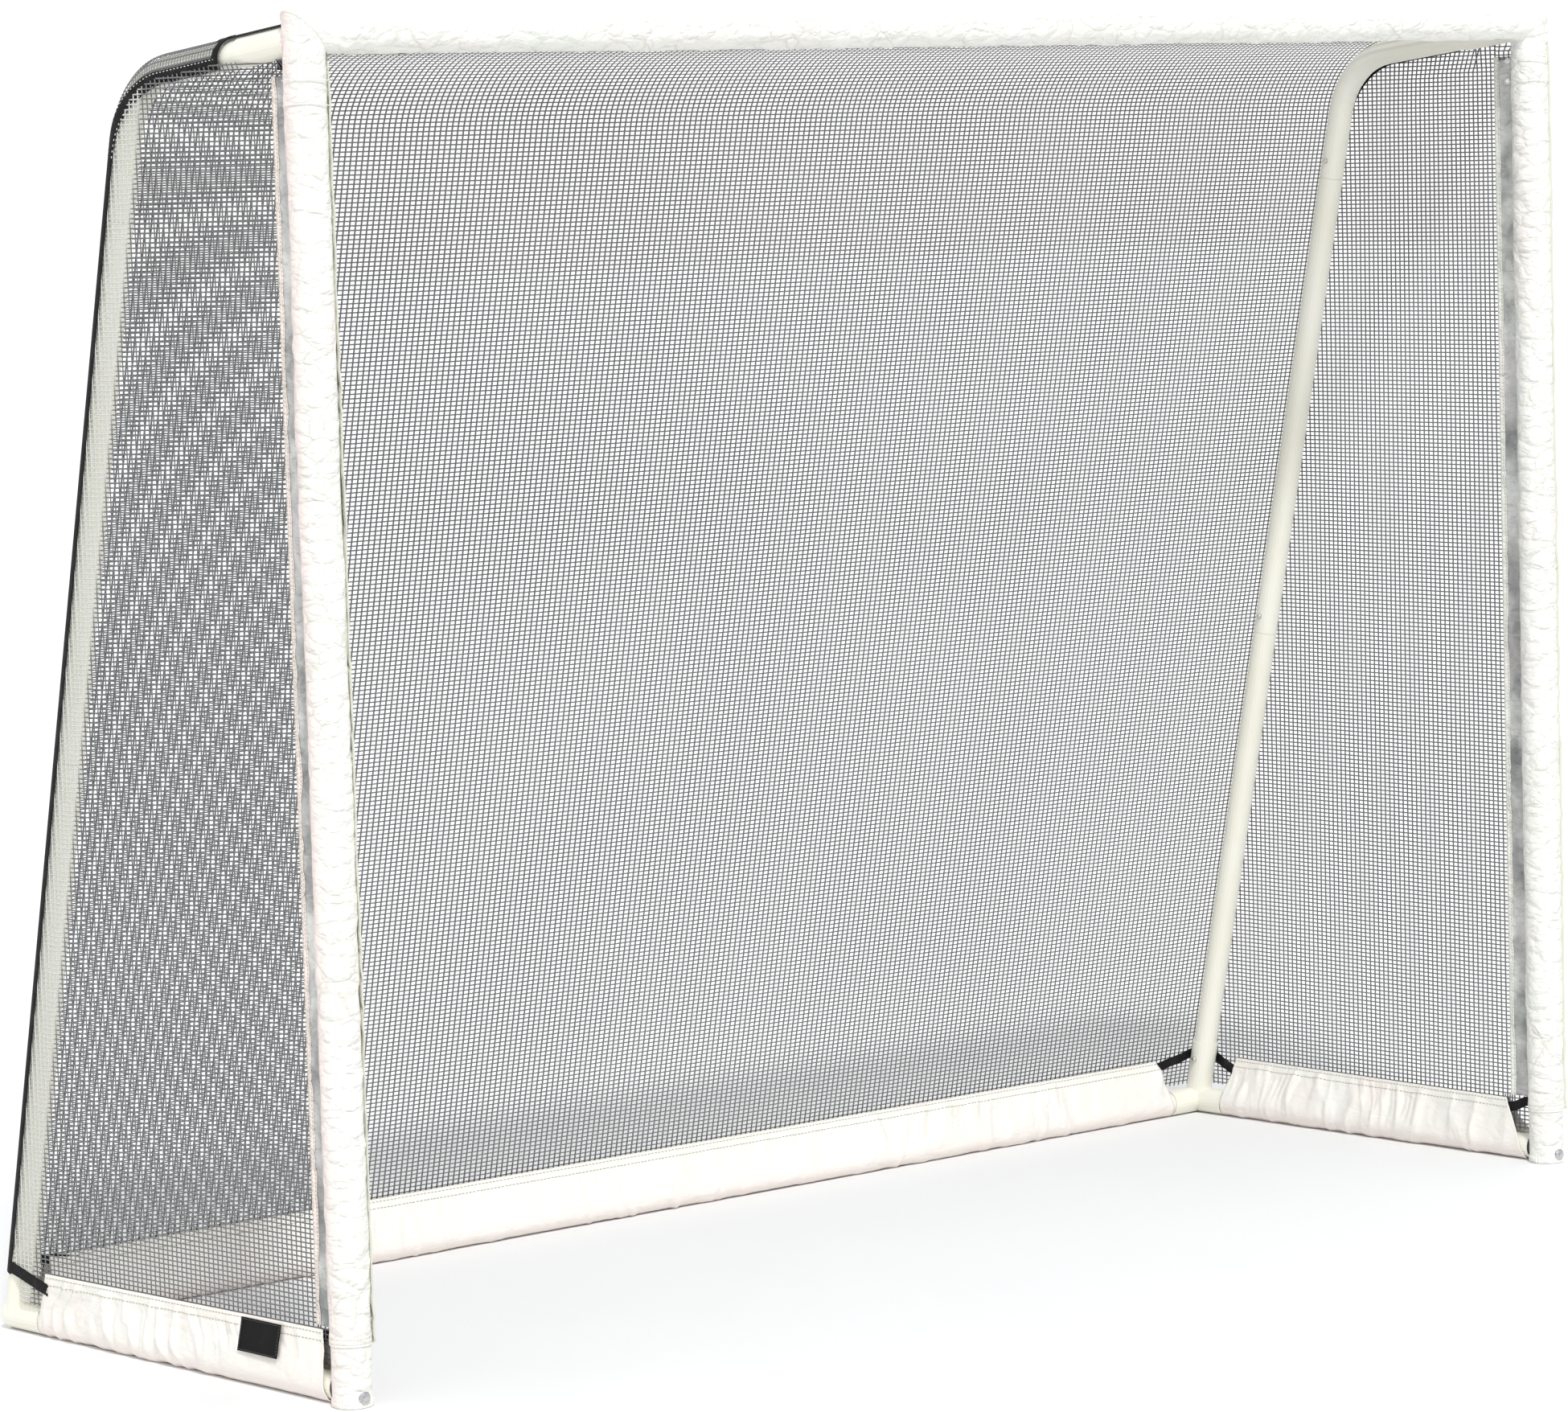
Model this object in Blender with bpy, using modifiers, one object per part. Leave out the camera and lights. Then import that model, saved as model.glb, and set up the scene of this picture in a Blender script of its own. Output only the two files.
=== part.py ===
"""Portable hockey goal: a knock-down steel tube frame with a net, fabric sleeves and skirts.

X runs along the crossbar, Y from the mouth towards the back and Z up. The origin lies on the
floor under the middle of the goal's bounding box. All lengths are in metres.
"""
import math

import bmesh
import bpy
from mathutils import Matrix, Vector

# Overall size
WIDTH = 2.440  # over the two post sleeves
HEIGHT = 1.830  # floor to the top of the crossbar sleeve
BASE_DEPTH = 0.775  # front post axis to back base tube axis

# Tubing
POST_R = 0.0254  # posts and crossbar
TUBE_R = 0.01905  # rear uprights and base
SOCKET_R = 0.0212  # sockets of the corner fittings, over the tubes
SOCKET_BORE_R = 0.0196
WALL = 0.0015
SWAGE_STEP = 0.0021  # how far a reduced end is smaller in radius than its tube
SIDES = 24  # facets round a tube
GAP = 0.0004  # clearance between faces that touch

# Line of the rear tube, seen from the side
TOP_AXIS_Z = 1.795  # height at which the top tube's axis meets the post's
TOP_FALL = math.radians(6.2)  # the top tube falls this much towards the back
LEAN = math.radians(12.76)  # the rear upright leans forward from its foot
BEND_R = 0.120
BEND_STEPS = 8
SOCKET_MOUTH = 0.128  # end of the top corner's rear socket, behind the post axis
JOINT_Z = {"upper": 1.565, "middle": 0.820, "lower": 0.121}  # joint lines of the rear upright
SWAGE_LENGTH = 0.062

# Fittings
CORNER_ARM = 0.070  # base corner centre to the mouths of its floor sockets
SOCKET_DEPTH = 0.045
CORNER_OVERHANG = 0.022  # closed end of the base corner, behind the corner's centre
STUB_LENGTH = 0.100  # top corner: crossbar and post axes' crossing to the end of each stub
SPIGOT_LENGTH = 0.060
CROSSBAR_HALF_MIDDLE = 0.400
POST_JOINT_Z = 0.920
FOOT_LIP = 0.0026

# Foot bolt
BOLT_Z = 0.0135
BOLT_SHANK_R = 0.0040
BOLT_HEAD_R = 0.0095
BOLT_HEAD_HEIGHT = 0.0055
BOLT_REACH = 0.050  # shank end, behind the post axis
BOLT_HOLE_R = 0.0045

# Snap buttons
BUTTON_R = 0.0039
BUTTON_HOLE_R = 0.0044
BUTTON_PROUD = 0.0045
BUTTON_ABOVE_LINE = 0.028  # on the upper and middle joints
BUTTON_BELOW_LINE = 0.030  # on the lower joint
FLANGE_R = 0.0054
FLANGE_THICK = 0.0014
SPRING_THICK = 0.0008
SPRING_HALF_WIDTH = 0.0050
SPRING_ABOVE = 0.009
SPRING_BELOW = 0.046

# Fabric
SLEEVE_R = 0.0285
SLEEVE_BORE_R = 0.0259
SLEEVE_HEM_Z = 0.083
CLOTH = 0.0012
NET_THICK = 0.0020
NET_OFFSET = 0.0242  # middle of the net outside the axis of a rear tube
NET_FRONT = 0.068  # front edge of the side net, behind the post axis
NET_BOTTOM_Z = 0.046  # in the open corners beside the skirts
NET_TUCK_Z = 0.092  # inside the skirts
NET_FRONT_TOP_Z = 1.745
NET_KNEE = 0.049  # the side net lies flat along the upright from here to its edge
HEM_BOTTOM_Z = 0.100
HEM_TOP_Z = 1.700
SKIRT_TOP_Z = 0.095
SKIRT_R = 0.0203  # middle of the skirt's cloth round the base tube
SKIRT_SIDE_START = 0.075  # front end of a side skirt, behind the post axis
SKIRT_SIDE_END = 0.702
SKIRT_BACK_END = 0.095  # gap between the back skirt and the upright's axis
SEAM_WIDTH = 0.018
SEAM_THICK = 0.0012
SEAM_START = 0.165  # where the seam webbing starts on the top tube, behind the post axis
STRAP_THICK = 0.0012
REAR_STRAP_HALF = 0.0125
REAR_STRAP_Z = 0.094
LABEL_SIZE = (0.089, 0.045, 0.0012)
LABEL_START = 0.137  # front edge of the label, behind the post axis
TIE_Z = (1.709, 1.741)
TIE_CORD_R = 0.0011

# Places that follow from the above
POST_X = WIDTH / 2 - SLEEVE_R
CROSSBAR_Z = HEIGHT - SLEEVE_R
BASE_Z = SOCKET_R
BOLT_FRONT = POST_R + GAP + BOLT_HEAD_HEIGHT
POST_Y = BOLT_FRONT - (BOLT_FRONT + BASE_DEPTH + CORNER_OVERHANG) / 2
BACK_Y = POST_Y + BASE_DEPTH

SIDE_NAMES = {-1: "left", 1: "right"}
GOAL = "hockey_goal"

# Colours are linear RGB, then roughness and metallic value.
FINISHES = {
    "white_tube": ((0.80, 0.79, 0.74), 0.38, 0.0),
    "white_sleeve": ((0.83, 0.83, 0.80), 0.62, 0.0),
    "white_skirt": ((0.84, 0.82, 0.78), 0.70, 0.0),
    "dark_net": ((0.060, 0.062, 0.066), 0.75, 0.0),
    "black_webbing": ((0.012, 0.012, 0.014), 0.80, 0.0),
    "bright_chrome": ((0.72, 0.72, 0.74), 0.12, 1.0),
    "spring_steel": ((0.42, 0.42, 0.43), 0.35, 1.0),
    "white_plastic": ((0.80, 0.80, 0.78), 0.45, 0.0),
    "grey_plastic": ((0.16, 0.16, 0.17), 0.55, 0.0),
    "black_label": ((0.014, 0.014, 0.016), 0.65, 0.0),
}


# ---- scene, materials and small helpers ----------------------------------------------------

def empty_scene():
    for thing in list(bpy.data.objects):
        bpy.data.objects.remove(thing, do_unlink=True)


def collection(name):
    group = bpy.data.collections.new(name)
    bpy.context.scene.collection.children.link(group)
    return group


def give_material(thing, finish):
    colour, roughness, metallic = FINISHES[finish]
    material = bpy.data.materials.new(f"{thing.name}_{finish}")
    material.use_nodes = True
    shader = material.node_tree.nodes["Principled BSDF"]
    shader.inputs["Base Color"].default_value = (*colour, 1.0)
    shader.inputs["Roughness"].default_value = roughness
    shader.inputs["Metallic"].default_value = metallic
    thing.data.materials.append(material)


def add_part(name, data, finish, place=Matrix.Identity(4)):
    """A named sub-part in the goal's collection."""
    part = bpy.data.objects.new(name, data)
    bpy.data.collections[GOAL].objects.link(part)
    part.matrix_world = place
    give_material(part, finish)
    return part


def add_helper(name, data, place=Matrix.Identity(4)):
    """A cutter, or a shape that a union adds, kept out of renders."""
    helper = bpy.data.objects.new(name, data)
    bpy.data.collections["cutters"].objects.link(helper)
    helper.matrix_world = place
    helper.hide_render = True
    helper.display_type = "WIRE"
    return helper


def aim(start, direction):
    """Matrix that puts local Z along direction, with its origin at start."""
    spin = Vector(direction).to_track_quat("Z", "Y")
    return Matrix.Translation(Vector(start)) @ spin.to_matrix().to_4x4()


def boolean(target, helper, operation):
    modifier = target.modifiers.new(f"{operation.lower()}_{helper.name}", "BOOLEAN")
    modifier.operation = operation
    modifier.solver = "EXACT"
    modifier.object = helper


def smooth(mesh):
    mesh.shade_smooth()
    mesh.set_sharp_from_angle(angle=math.radians(35))


def rod_mesh(name, radius, length, sides=SIDES):
    """Solid cylinder along local Z, from 0 to length."""
    mesh = bpy.data.meshes.new(name)
    shape = bmesh.new()
    bmesh.ops.create_cone(shape, cap_ends=True, segments=sides, radius1=radius, radius2=radius,
                          depth=length, matrix=Matrix.Translation((0, 0, length / 2)))
    shape.to_mesh(mesh)
    shape.free()
    smooth(mesh)
    return mesh


def box_mesh(name, size):
    mesh = bpy.data.meshes.new(name)
    shape = bmesh.new()
    bmesh.ops.create_cube(shape, size=1.0, matrix=Matrix.Diagonal((*size, 1.0)))
    shape.to_mesh(mesh)
    shape.free()
    return mesh


def turned(name, profile, finish, place, closed, sides=SIDES):
    """Screw a profile of (radius, height) points round local Z; it runs down the outer side."""
    mesh = bpy.data.meshes.new(name)
    shape = bmesh.new()
    points = [shape.verts.new((radius, 0.0, height)) for radius, height in profile]
    pairs = list(zip(points, points[1:]))
    if closed:
        pairs.append((points[-1], points[0]))
    for pair in pairs:
        shape.edges.new(pair)
    shape.to_mesh(mesh)
    shape.free()
    part = add_part(name, mesh, finish, place)
    screw = part.modifiers.new("turn", "SCREW")
    screw.axis = "Z"
    screw.angle = math.tau
    screw.steps = sides
    screw.render_steps = sides
    screw.use_merge_vertices = True
    screw.merge_threshold = 0.00005
    screw.use_smooth_shade = True
    return part


def tube(name, start, end, radius, swage_start=0.0, swage_end=0.0):
    """Hollow straight tube from start to end, with reduced ends of the lengths given."""
    length = (Vector(end) - Vector(start)).length
    reduced = radius - SWAGE_STEP
    outer = []
    if swage_end:
        outer += [(reduced, length), (reduced, length - swage_end)]
    outer.append((radius, length - swage_end))
    outer.append((radius, swage_start))
    if swage_start:
        outer += [(reduced, swage_start), (reduced, 0.0)]
    inner = [(ring_radius - WALL, height) for ring_radius, height in reversed(outer)]
    # The bore narrows one wall before the outside does, so the step keeps its thickness.
    shifted = []
    for ring_radius, height in inner:
        if swage_end and abs(height - (length - swage_end)) < 1e-6:
            height -= WALL
        if swage_start and abs(height - swage_start) < 1e-6:
            height += WALL
        shifted.append((ring_radius, height))
    place = aim(start, Vector(end) - Vector(start))
    return turned(name, outer + shifted, "white_tube", place, closed=True)


def sheet_mesh(name, rows):
    """Open surface through a grid of points: one list of points for each row."""
    mesh = bpy.data.meshes.new(name)
    shape = bmesh.new()
    grid = [[shape.verts.new(point) for point in row] for row in rows]
    for low, high in zip(grid, grid[1:]):
        for column in range(len(low) - 1):
            shape.faces.new((low[column], low[column + 1], high[column + 1], high[column]))
    shape.to_mesh(mesh)
    shape.free()
    return mesh


def cloth_part(name, rows, thickness, finish):
    """A sheet through a grid of points, as thick as stated about its middle."""
    part = add_part(name, sheet_mesh(name, rows), finish)
    shell = part.modifiers.new("thickness", "SOLIDIFY")
    shell.thickness = thickness
    shell.offset = 0.0
    shell.use_even_offset = True
    return part


# ---- the line of the rear tube -------------------------------------------------------------

TOP_DIRECTION = Vector((0.0, math.cos(TOP_FALL), -math.sin(TOP_FALL)))
LEG_DIRECTION = Vector((0.0, math.sin(LEAN), -math.cos(LEAN)))


def leg_y(height):
    """Y of the rear upright's axis at a height."""
    return BACK_Y - (height - BASE_Z) * math.tan(LEAN)


def leg_point(height, side, beyond=0.0):
    """Point on the rear upright's axis, moved beyond it along the leg, towards the top."""
    on_axis = Vector((side * POST_X, leg_y(height), height))
    return on_axis - LEG_DIRECTION * beyond


def top_point(behind_post, side):
    height = TOP_AXIS_Z - behind_post * math.tan(TOP_FALL)
    return Vector((side * POST_X, POST_Y + behind_post, height))


def bend_corner(side):
    """Where the top tube's line and the upright's line cross."""
    slope_top = math.tan(TOP_FALL)
    slope_leg = math.tan(LEAN)
    behind = (BASE_DEPTH - (TOP_AXIS_Z - BASE_Z) * slope_leg) / (1 - slope_top * slope_leg)
    return top_point(behind, side)


def bend_points(side, offset=0.0, steps=BEND_STEPS):
    """Arc of the bend from the top tube to the leg, moved outwards by offset."""
    turn = math.pi / 2 - TOP_FALL - LEAN
    inward = Vector((0.0, -math.sin(TOP_FALL), -math.cos(TOP_FALL)))
    start = bend_corner(side) - TOP_DIRECTION * (BEND_R * math.tan(turn / 2))
    centre = start + inward * BEND_R
    arc = []
    for step in range(steps + 1):
        angle = math.pi / 2 - TOP_FALL - turn * step / steps
        outward = Vector((0.0, math.cos(angle), math.sin(angle)))
        arc.append(centre + outward * (BEND_R + offset))
    return arc


# ---- frame tubes and fittings --------------------------------------------------------------

def mitred_rings(side, stages):
    """Rings of a post and crossbar elbow, each stage being (place, distance, radius).

    A post ring lies a distance below the crossbar's axis, a bar ring lies a distance inboard
    of the post's axis, and a mitre ring lies in the plane between them, moved by distance
    down the post or, where it is negative, inboard along the crossbar.
    """
    rings = []
    for place, distance, radius in stages:
        ring = []
        for index in range(SIDES):
            angle = math.tau * index / SIDES
            out = radius * math.cos(angle)
            across = radius * math.sin(angle)
            if place == "post":
                point = (out, across, -distance)
            elif place == "bar":
                point = (-distance, across, out)
            else:
                point = (out + min(distance, 0.0), across, out - max(distance, 0.0))
            ring.append((side * (POST_X + point[0]), POST_Y + point[1], CROSSBAR_Z + point[2]))
        rings.append(ring)
    return rings


def ring_loft(name, rings, finish):
    """Closed tube wall through a loop of rings; the last ring joins the first."""
    mesh = bpy.data.meshes.new(name)
    shape = bmesh.new()
    loops = [[shape.verts.new(point) for point in ring] for ring in rings]
    for loop, after in zip(loops, loops[1:] + loops[:1]):
        for index in range(SIDES):
            following = (index + 1) % SIDES
            shape.faces.new((loop[index], loop[following], after[following], after[index]))
    bmesh.ops.recalc_face_normals(shape, faces=shape.faces)
    shape.to_mesh(mesh)
    shape.free()
    smooth(mesh)
    return add_part(name, mesh, finish)


def rear_socket_helper(side, purpose, radius, start, end):
    """Cylinder on the top tube's axis, between two distances behind the post axis."""
    name = f"{purpose}_{SIDE_NAMES[side]}"
    low = top_point(start, side)
    length = (end - start) / math.cos(TOP_FALL)
    return add_helper(name, rod_mesh(name, radius, length), aim(low, TOP_DIRECTION))


def top_corner(side):
    """Three-way fitting: mitred post and crossbar stubs with spigots, and a rear socket."""
    reduced = POST_R - SWAGE_STEP
    far = STUB_LENGTH + SPIGOT_LENGTH
    stages = [
        ("post", far, reduced), ("post", STUB_LENGTH, reduced), ("post", STUB_LENGTH, POST_R),
        ("mitre", 0.0, POST_R),
        ("bar", STUB_LENGTH, POST_R), ("bar", STUB_LENGTH, reduced), ("bar", far, reduced),
        ("bar", far, reduced - WALL), ("bar", STUB_LENGTH - WALL, reduced - WALL),
        ("bar", STUB_LENGTH - WALL, POST_R - WALL),
        ("mitre", 0.0, POST_R - WALL),
        ("post", STUB_LENGTH - WALL, POST_R - WALL), ("post", STUB_LENGTH - WALL, reduced - WALL),
        ("post", far, reduced - WALL),
    ]
    part = ring_loft(f"top_corner_{SIDE_NAMES[side]}", mitred_rings(side, stages), "white_tube")
    boolean(part, rear_socket_helper(side, "rear_socket", SOCKET_R, 0.008, SOCKET_MOUTH), "UNION")
    bore_start = SOCKET_MOUTH - SOCKET_DEPTH
    bore = rear_socket_helper(side, "rear_socket_bore", SOCKET_BORE_R, bore_start,
                              SOCKET_MOUTH + 0.02)
    boolean(part, bore, "DIFFERENCE")


def crossbar():
    """Three lengths: the middle one has a reduced end in each of the outer two."""
    mouth = POST_X - STUB_LENGTH - GAP
    reach = CROSSBAR_HALF_MIDDLE + GAP
    for side in SIDE_NAMES:
        tube(f"crossbar_{SIDE_NAMES[side]}", (side * mouth, POST_Y, CROSSBAR_Z),
             (side * reach, POST_Y, CROSSBAR_Z), POST_R)
    end = CROSSBAR_HALF_MIDDLE + SWAGE_LENGTH
    tube("crossbar_middle", (-end, POST_Y, CROSSBAR_Z), (end, POST_Y, CROSSBAR_Z), POST_R,
         swage_start=SWAGE_LENGTH, swage_end=SWAGE_LENGTH)


def front_post(side):
    """Two lengths: the lower one stands on the foot cap and enters the upper one."""
    place = SIDE_NAMES[side]
    x = side * POST_X
    top = CROSSBAR_Z - STUB_LENGTH - GAP
    tube(f"post_upper_{place}", (x, POST_Y, POST_JOINT_Z + GAP), (x, POST_Y, top), POST_R)
    lower = tube(f"post_lower_{place}", (x, POST_Y, FOOT_LIP + GAP),
                 (x, POST_Y, POST_JOINT_Z + SWAGE_LENGTH), POST_R, swage_end=SWAGE_LENGTH)
    hole = f"bolt_hole_{place}"
    cutter = add_helper(hole, rod_mesh(hole, BOLT_HOLE_R, 4 * POST_R, 12),
                        aim((x, POST_Y - 2 * POST_R, BOLT_Z), (0, 1, 0)))
    boolean(lower, cutter, "DIFFERENCE")


def foot_cap(side):
    """Plastic plug under the post: a lip that stands on the floor and a short body inside."""
    body_r = POST_R - WALL - 2 * GAP
    body_top = FOOT_LIP + 0.005
    profile = [(0.0, body_top), (body_r, body_top), (body_r, FOOT_LIP), (POST_R, FOOT_LIP),
               (POST_R, 0.0008), (POST_R - 0.0008, 0.0), (0.0, 0.0)]
    turned(f"foot_cap_{SIDE_NAMES[side]}", profile, "white_plastic",
           Matrix.Translation((side * POST_X, POST_Y, 0.0)), closed=False)


def foot_bolt(side):
    """Domed bolt from the front, through the post, into the side base tube's end plug."""
    seat = BOLT_REACH + POST_R + GAP
    dome = []
    dome_steps = 5
    for step in range(dome_steps + 1):
        angle = math.pi / 2 * (1 - step / dome_steps)
        dome.append((BOLT_HEAD_R * math.cos(angle), seat + BOLT_HEAD_HEIGHT * math.sin(angle)))
    profile = dome + [(BOLT_SHANK_R, seat), (BOLT_SHANK_R, 0.0), (0.0, 0.0)]
    profile[0] = (0.0, seat + BOLT_HEAD_HEIGHT)
    place = aim((side * POST_X, POST_Y + BOLT_REACH, BOLT_Z), (0, -1, 0))
    turned(f"foot_bolt_{SIDE_NAMES[side]}", profile, "bright_chrome", place, closed=False,
           sides=16)


def base_end_plug(side):
    """Plug in the front end of the side base tube, with the bolt's hole below its middle."""
    place = SIDE_NAMES[side]
    start = POST_R + 2 * GAP
    length = BOLT_REACH - start + 0.006
    name = f"base_end_plug_{place}"
    radius = TUBE_R - WALL - 2 * GAP
    plug = add_part(name, rod_mesh(name, radius, length), "grey_plastic",
                    aim((side * POST_X, POST_Y + start, BASE_Z), (0, 1, 0)))
    hole = f"plug_hole_{place}"
    cutter = add_helper(hole, rod_mesh(hole, BOLT_HOLE_R, length + 0.02, 12),
                        aim((side * POST_X, POST_Y + start - 0.01, BOLT_Z), (0, 1, 0)))
    boolean(plug, cutter, "DIFFERENCE")


def side_base_tube(side):
    start = (side * POST_X, POST_Y + POST_R + 2 * GAP, BASE_Z)
    end = (side * POST_X, BACK_Y - CORNER_ARM + SOCKET_DEPTH - GAP, BASE_Z)
    tube(f"side_base_tube_{SIDE_NAMES[side]}", start, end, TUBE_R)


def back_base_tubes():
    """Two lengths that meet in the middle, the right one entering the left."""
    reach = POST_X - CORNER_ARM + SOCKET_DEPTH - GAP
    tube("back_base_tube_left", (-reach, BACK_Y, BASE_Z), (-GAP, BACK_Y, BASE_Z), TUBE_R)
    tube("back_base_tube_right", (-SWAGE_LENGTH, BACK_Y, BASE_Z), (reach, BACK_Y, BASE_Z), TUBE_R,
         swage_start=SWAGE_LENGTH)


def base_corner(side):
    """Three-way fitting: a through-piece along Y with a rounded end, and two sockets."""
    place = SIDE_NAMES[side]
    centre = Vector((side * POST_X, BACK_Y, BASE_Z))
    round_r = 0.010
    profile = [(0.0, CORNER_ARM + CORNER_OVERHANG)]
    for step in range(4):
        angle = math.pi / 2 * (1 - step / 3)
        profile.append((SOCKET_R - round_r + round_r * math.cos(angle),
                        CORNER_ARM + CORNER_OVERHANG - round_r + round_r * math.sin(angle)))
    profile += [(SOCKET_R, 0.0), (0.0, 0.0)]
    part = turned(f"base_corner_{place}", profile, "white_tube",
                  aim(centre - Vector((0, CORNER_ARM, 0)), (0, 1, 0)), closed=False)
    stub = (JOINT_Z["lower"] - BASE_Z) / math.cos(LEAN)
    arms = {"back": (Vector((-side, 0, 0)), CORNER_ARM), "stub": (-LEG_DIRECTION, stub)}
    for arm, (direction, length) in arms.items():
        name = f"corner_{arm}_{place}"
        boolean(part, add_helper(name, rod_mesh(name, SOCKET_R, length), aim(centre, direction)),
                "UNION")
    arms["side"] = (Vector((0, -1, 0)), CORNER_ARM)
    for arm, (direction, length) in arms.items():
        name = f"corner_{arm}_bore_{place}"
        bottom = centre + direction * (length - SOCKET_DEPTH)
        cutter = add_helper(name, rod_mesh(name, SOCKET_BORE_R, SOCKET_DEPTH + 0.02),
                            aim(bottom, direction))
        boolean(part, cutter, "DIFFERENCE")
    boolean(part, button_cutter("lower", side), "DIFFERENCE")


def rear_bend_tube(side):
    """Tube from the top corner's socket, round the bend and down to the upper joint."""
    name = f"rear_bend_tube_{SIDE_NAMES[side]}"
    start = top_point(SOCKET_MOUTH - SOCKET_DEPTH + GAP, side)
    end = leg_point(JOINT_Z["upper"], side, GAP)
    points = [start, *bend_points(side), end]
    path = bpy.data.curves.new(name, "CURVE")
    path.dimensions = "3D"
    path.bevel_depth = TUBE_R
    path.bevel_resolution = SIDES // 2 - 2
    spline = path.splines.new("POLY")
    spline.points.add(len(points) - 1)
    for knot, point in zip(spline.points, points):
        knot.co = (*point, 1.0)
    guide = add_helper(f"{name}_path", path)
    bpy.context.view_layer.update()
    evaluated = guide.evaluated_get(bpy.context.evaluated_depsgraph_get())
    mesh = bpy.data.meshes.new_from_object(evaluated)
    bpy.data.objects.remove(guide, do_unlink=True)
    shape = bmesh.new()
    shape.from_mesh(mesh)
    bmesh.ops.remove_doubles(shape, verts=shape.verts, dist=0.00001)
    shape.to_mesh(mesh)
    shape.free()
    smooth(mesh)
    part = add_part(name, mesh, "white_tube")
    shell = part.modifiers.new("wall", "SOLIDIFY")
    shell.thickness = WALL
    shell.offset = -1.0
    shell.use_even_offset = True
    boolean(part, button_cutter("upper", side), "DIFFERENCE")


def rear_upright(side):
    """Middle and lower lengths; each has a reduced top in the tube above it."""
    place = SIDE_NAMES[side]
    middle = tube(f"rear_upright_middle_{place}", leg_point(JOINT_Z["middle"], side, GAP),
                  leg_point(JOINT_Z["upper"], side, SWAGE_LENGTH), TUBE_R,
                  swage_end=SWAGE_LENGTH)
    stub_bore_bottom = leg_point(JOINT_Z["lower"], side, GAP - SOCKET_DEPTH)
    lower = tube(f"rear_upright_lower_{place}", stub_bore_bottom,
                 leg_point(JOINT_Z["middle"], side, SWAGE_LENGTH), TUBE_R,
                 swage_end=SWAGE_LENGTH)
    boolean(middle, button_cutter("upper", side), "DIFFERENCE")
    boolean(middle, button_cutter("middle", side), "DIFFERENCE")
    boolean(lower, button_cutter("middle", side), "DIFFERENCE")
    boolean(lower, button_cutter("lower", side), "DIFFERENCE")


# ---- snap buttons --------------------------------------------------------------------------

def button_centre(joint, side):
    """Point on the upright's axis that a snap button points away from."""
    along = -BUTTON_BELOW_LINE if joint == "lower" else BUTTON_ABOVE_LINE
    return leg_point(JOINT_Z[joint], side, along)


def button_radii(joint):
    """Bore of the inner tube and outside of the outer tube at a joint."""
    if joint == "lower":
        return TUBE_R - WALL, SOCKET_R
    return TUBE_R - SWAGE_STEP - WALL, TUBE_R


def button_cutter(joint, side):
    """Hole through the walls of both tubes, on the side that faces into the goal."""
    name = f"button_hole_{joint}_{SIDE_NAMES[side]}"
    if name in bpy.data.objects:
        return bpy.data.objects[name]
    return add_helper(name, rod_mesh(name, BUTTON_HOLE_R, 0.03, 12),
                      aim(button_centre(joint, side) - Vector((side * 0.004, 0, 0)), (-side, 0, 0)))


def snap_button(joint, side):
    """Pin with a domed end outside the tubes and a flange inside them."""
    bore_r, outer_r = button_radii(joint)
    face = bore_r - 0.0014
    tip = outer_r + BUTTON_PROUD
    dome = []
    for step in range(4):
        angle = math.pi / 2 * (1 - step / 3)
        dome.append((BUTTON_R * math.cos(angle), tip - 0.0022 + 0.0022 * math.sin(angle)))
    dome[0] = (0.0, tip)
    profile = dome + [(BUTTON_R, face), (FLANGE_R, face), (FLANGE_R, face - FLANGE_THICK),
                      (0.0, face - FLANGE_THICK)]
    turned(f"snap_button_{joint}_{SIDE_NAMES[side]}", profile, "spring_steel",
           aim(button_centre(joint, side), (-side, 0, 0)), closed=False, sides=16)


def snap_spring(joint, side):
    """V of spring strip inside the tube: one leaf behind the button, one on the far wall.

    Its fold lies below the button, or above it on the lower joint.
    """
    name = f"snap_spring_{joint}_{SIDE_NAMES[side]}"
    bore_r, _ = button_radii(joint)
    near = bore_r - 0.0014 - FLANGE_THICK - GAP
    far = -math.sqrt(bore_r ** 2 - SPRING_HALF_WIDTH ** 2) + 2 * GAP
    tip = 0.0015
    way = -1 if joint == "lower" else 1
    outline = [(near, SPRING_ABOVE), (near, -SPRING_ABOVE), (tip, -SPRING_BELOW),
               (-tip, -SPRING_BELOW), (far, -SPRING_ABOVE), (far, SPRING_ABOVE),
               (far + SPRING_THICK, SPRING_ABOVE), (far + SPRING_THICK, -SPRING_ABOVE),
               (0.0, SPRING_THICK * 3 - SPRING_BELOW), (near - SPRING_THICK, -SPRING_ABOVE),
               (near - SPRING_THICK, SPRING_ABOVE)]
    strip = bpy.data.curves.new(name, "CURVE")
    strip.dimensions = "2D"
    strip.fill_mode = "BOTH"
    strip.extrude = SPRING_HALF_WIDTH
    spline = strip.splines.new("POLY")
    spline.points.add(len(outline) - 1)
    for knot, (out, along) in zip(spline.points, outline):
        knot.co = (out, way * along, 0.0, 1.0)
    spline.use_cyclic_u = True
    # Local X points out through the button, local Y up the leg.
    across = Vector((-side, 0.0, 0.0)).cross(-LEG_DIRECTION)
    turn = Matrix((Vector((-side, 0.0, 0.0)), -LEG_DIRECTION, across)).transposed().to_4x4()
    add_part(name, strip, "spring_steel", Matrix.Translation(button_centre(joint, side)) @ turn)


# ---- sleeves -------------------------------------------------------------------------------

def sleeve_cutter(side):
    """Clearance for the top corner's rear socket in both sleeves."""
    name = f"sleeve_opening_{SIDE_NAMES[side]}"
    if name in bpy.data.objects:
        return bpy.data.objects[name]
    return rear_socket_helper(side, "sleeve_opening", SOCKET_R + 0.0012, 0.004, 0.06)


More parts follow.
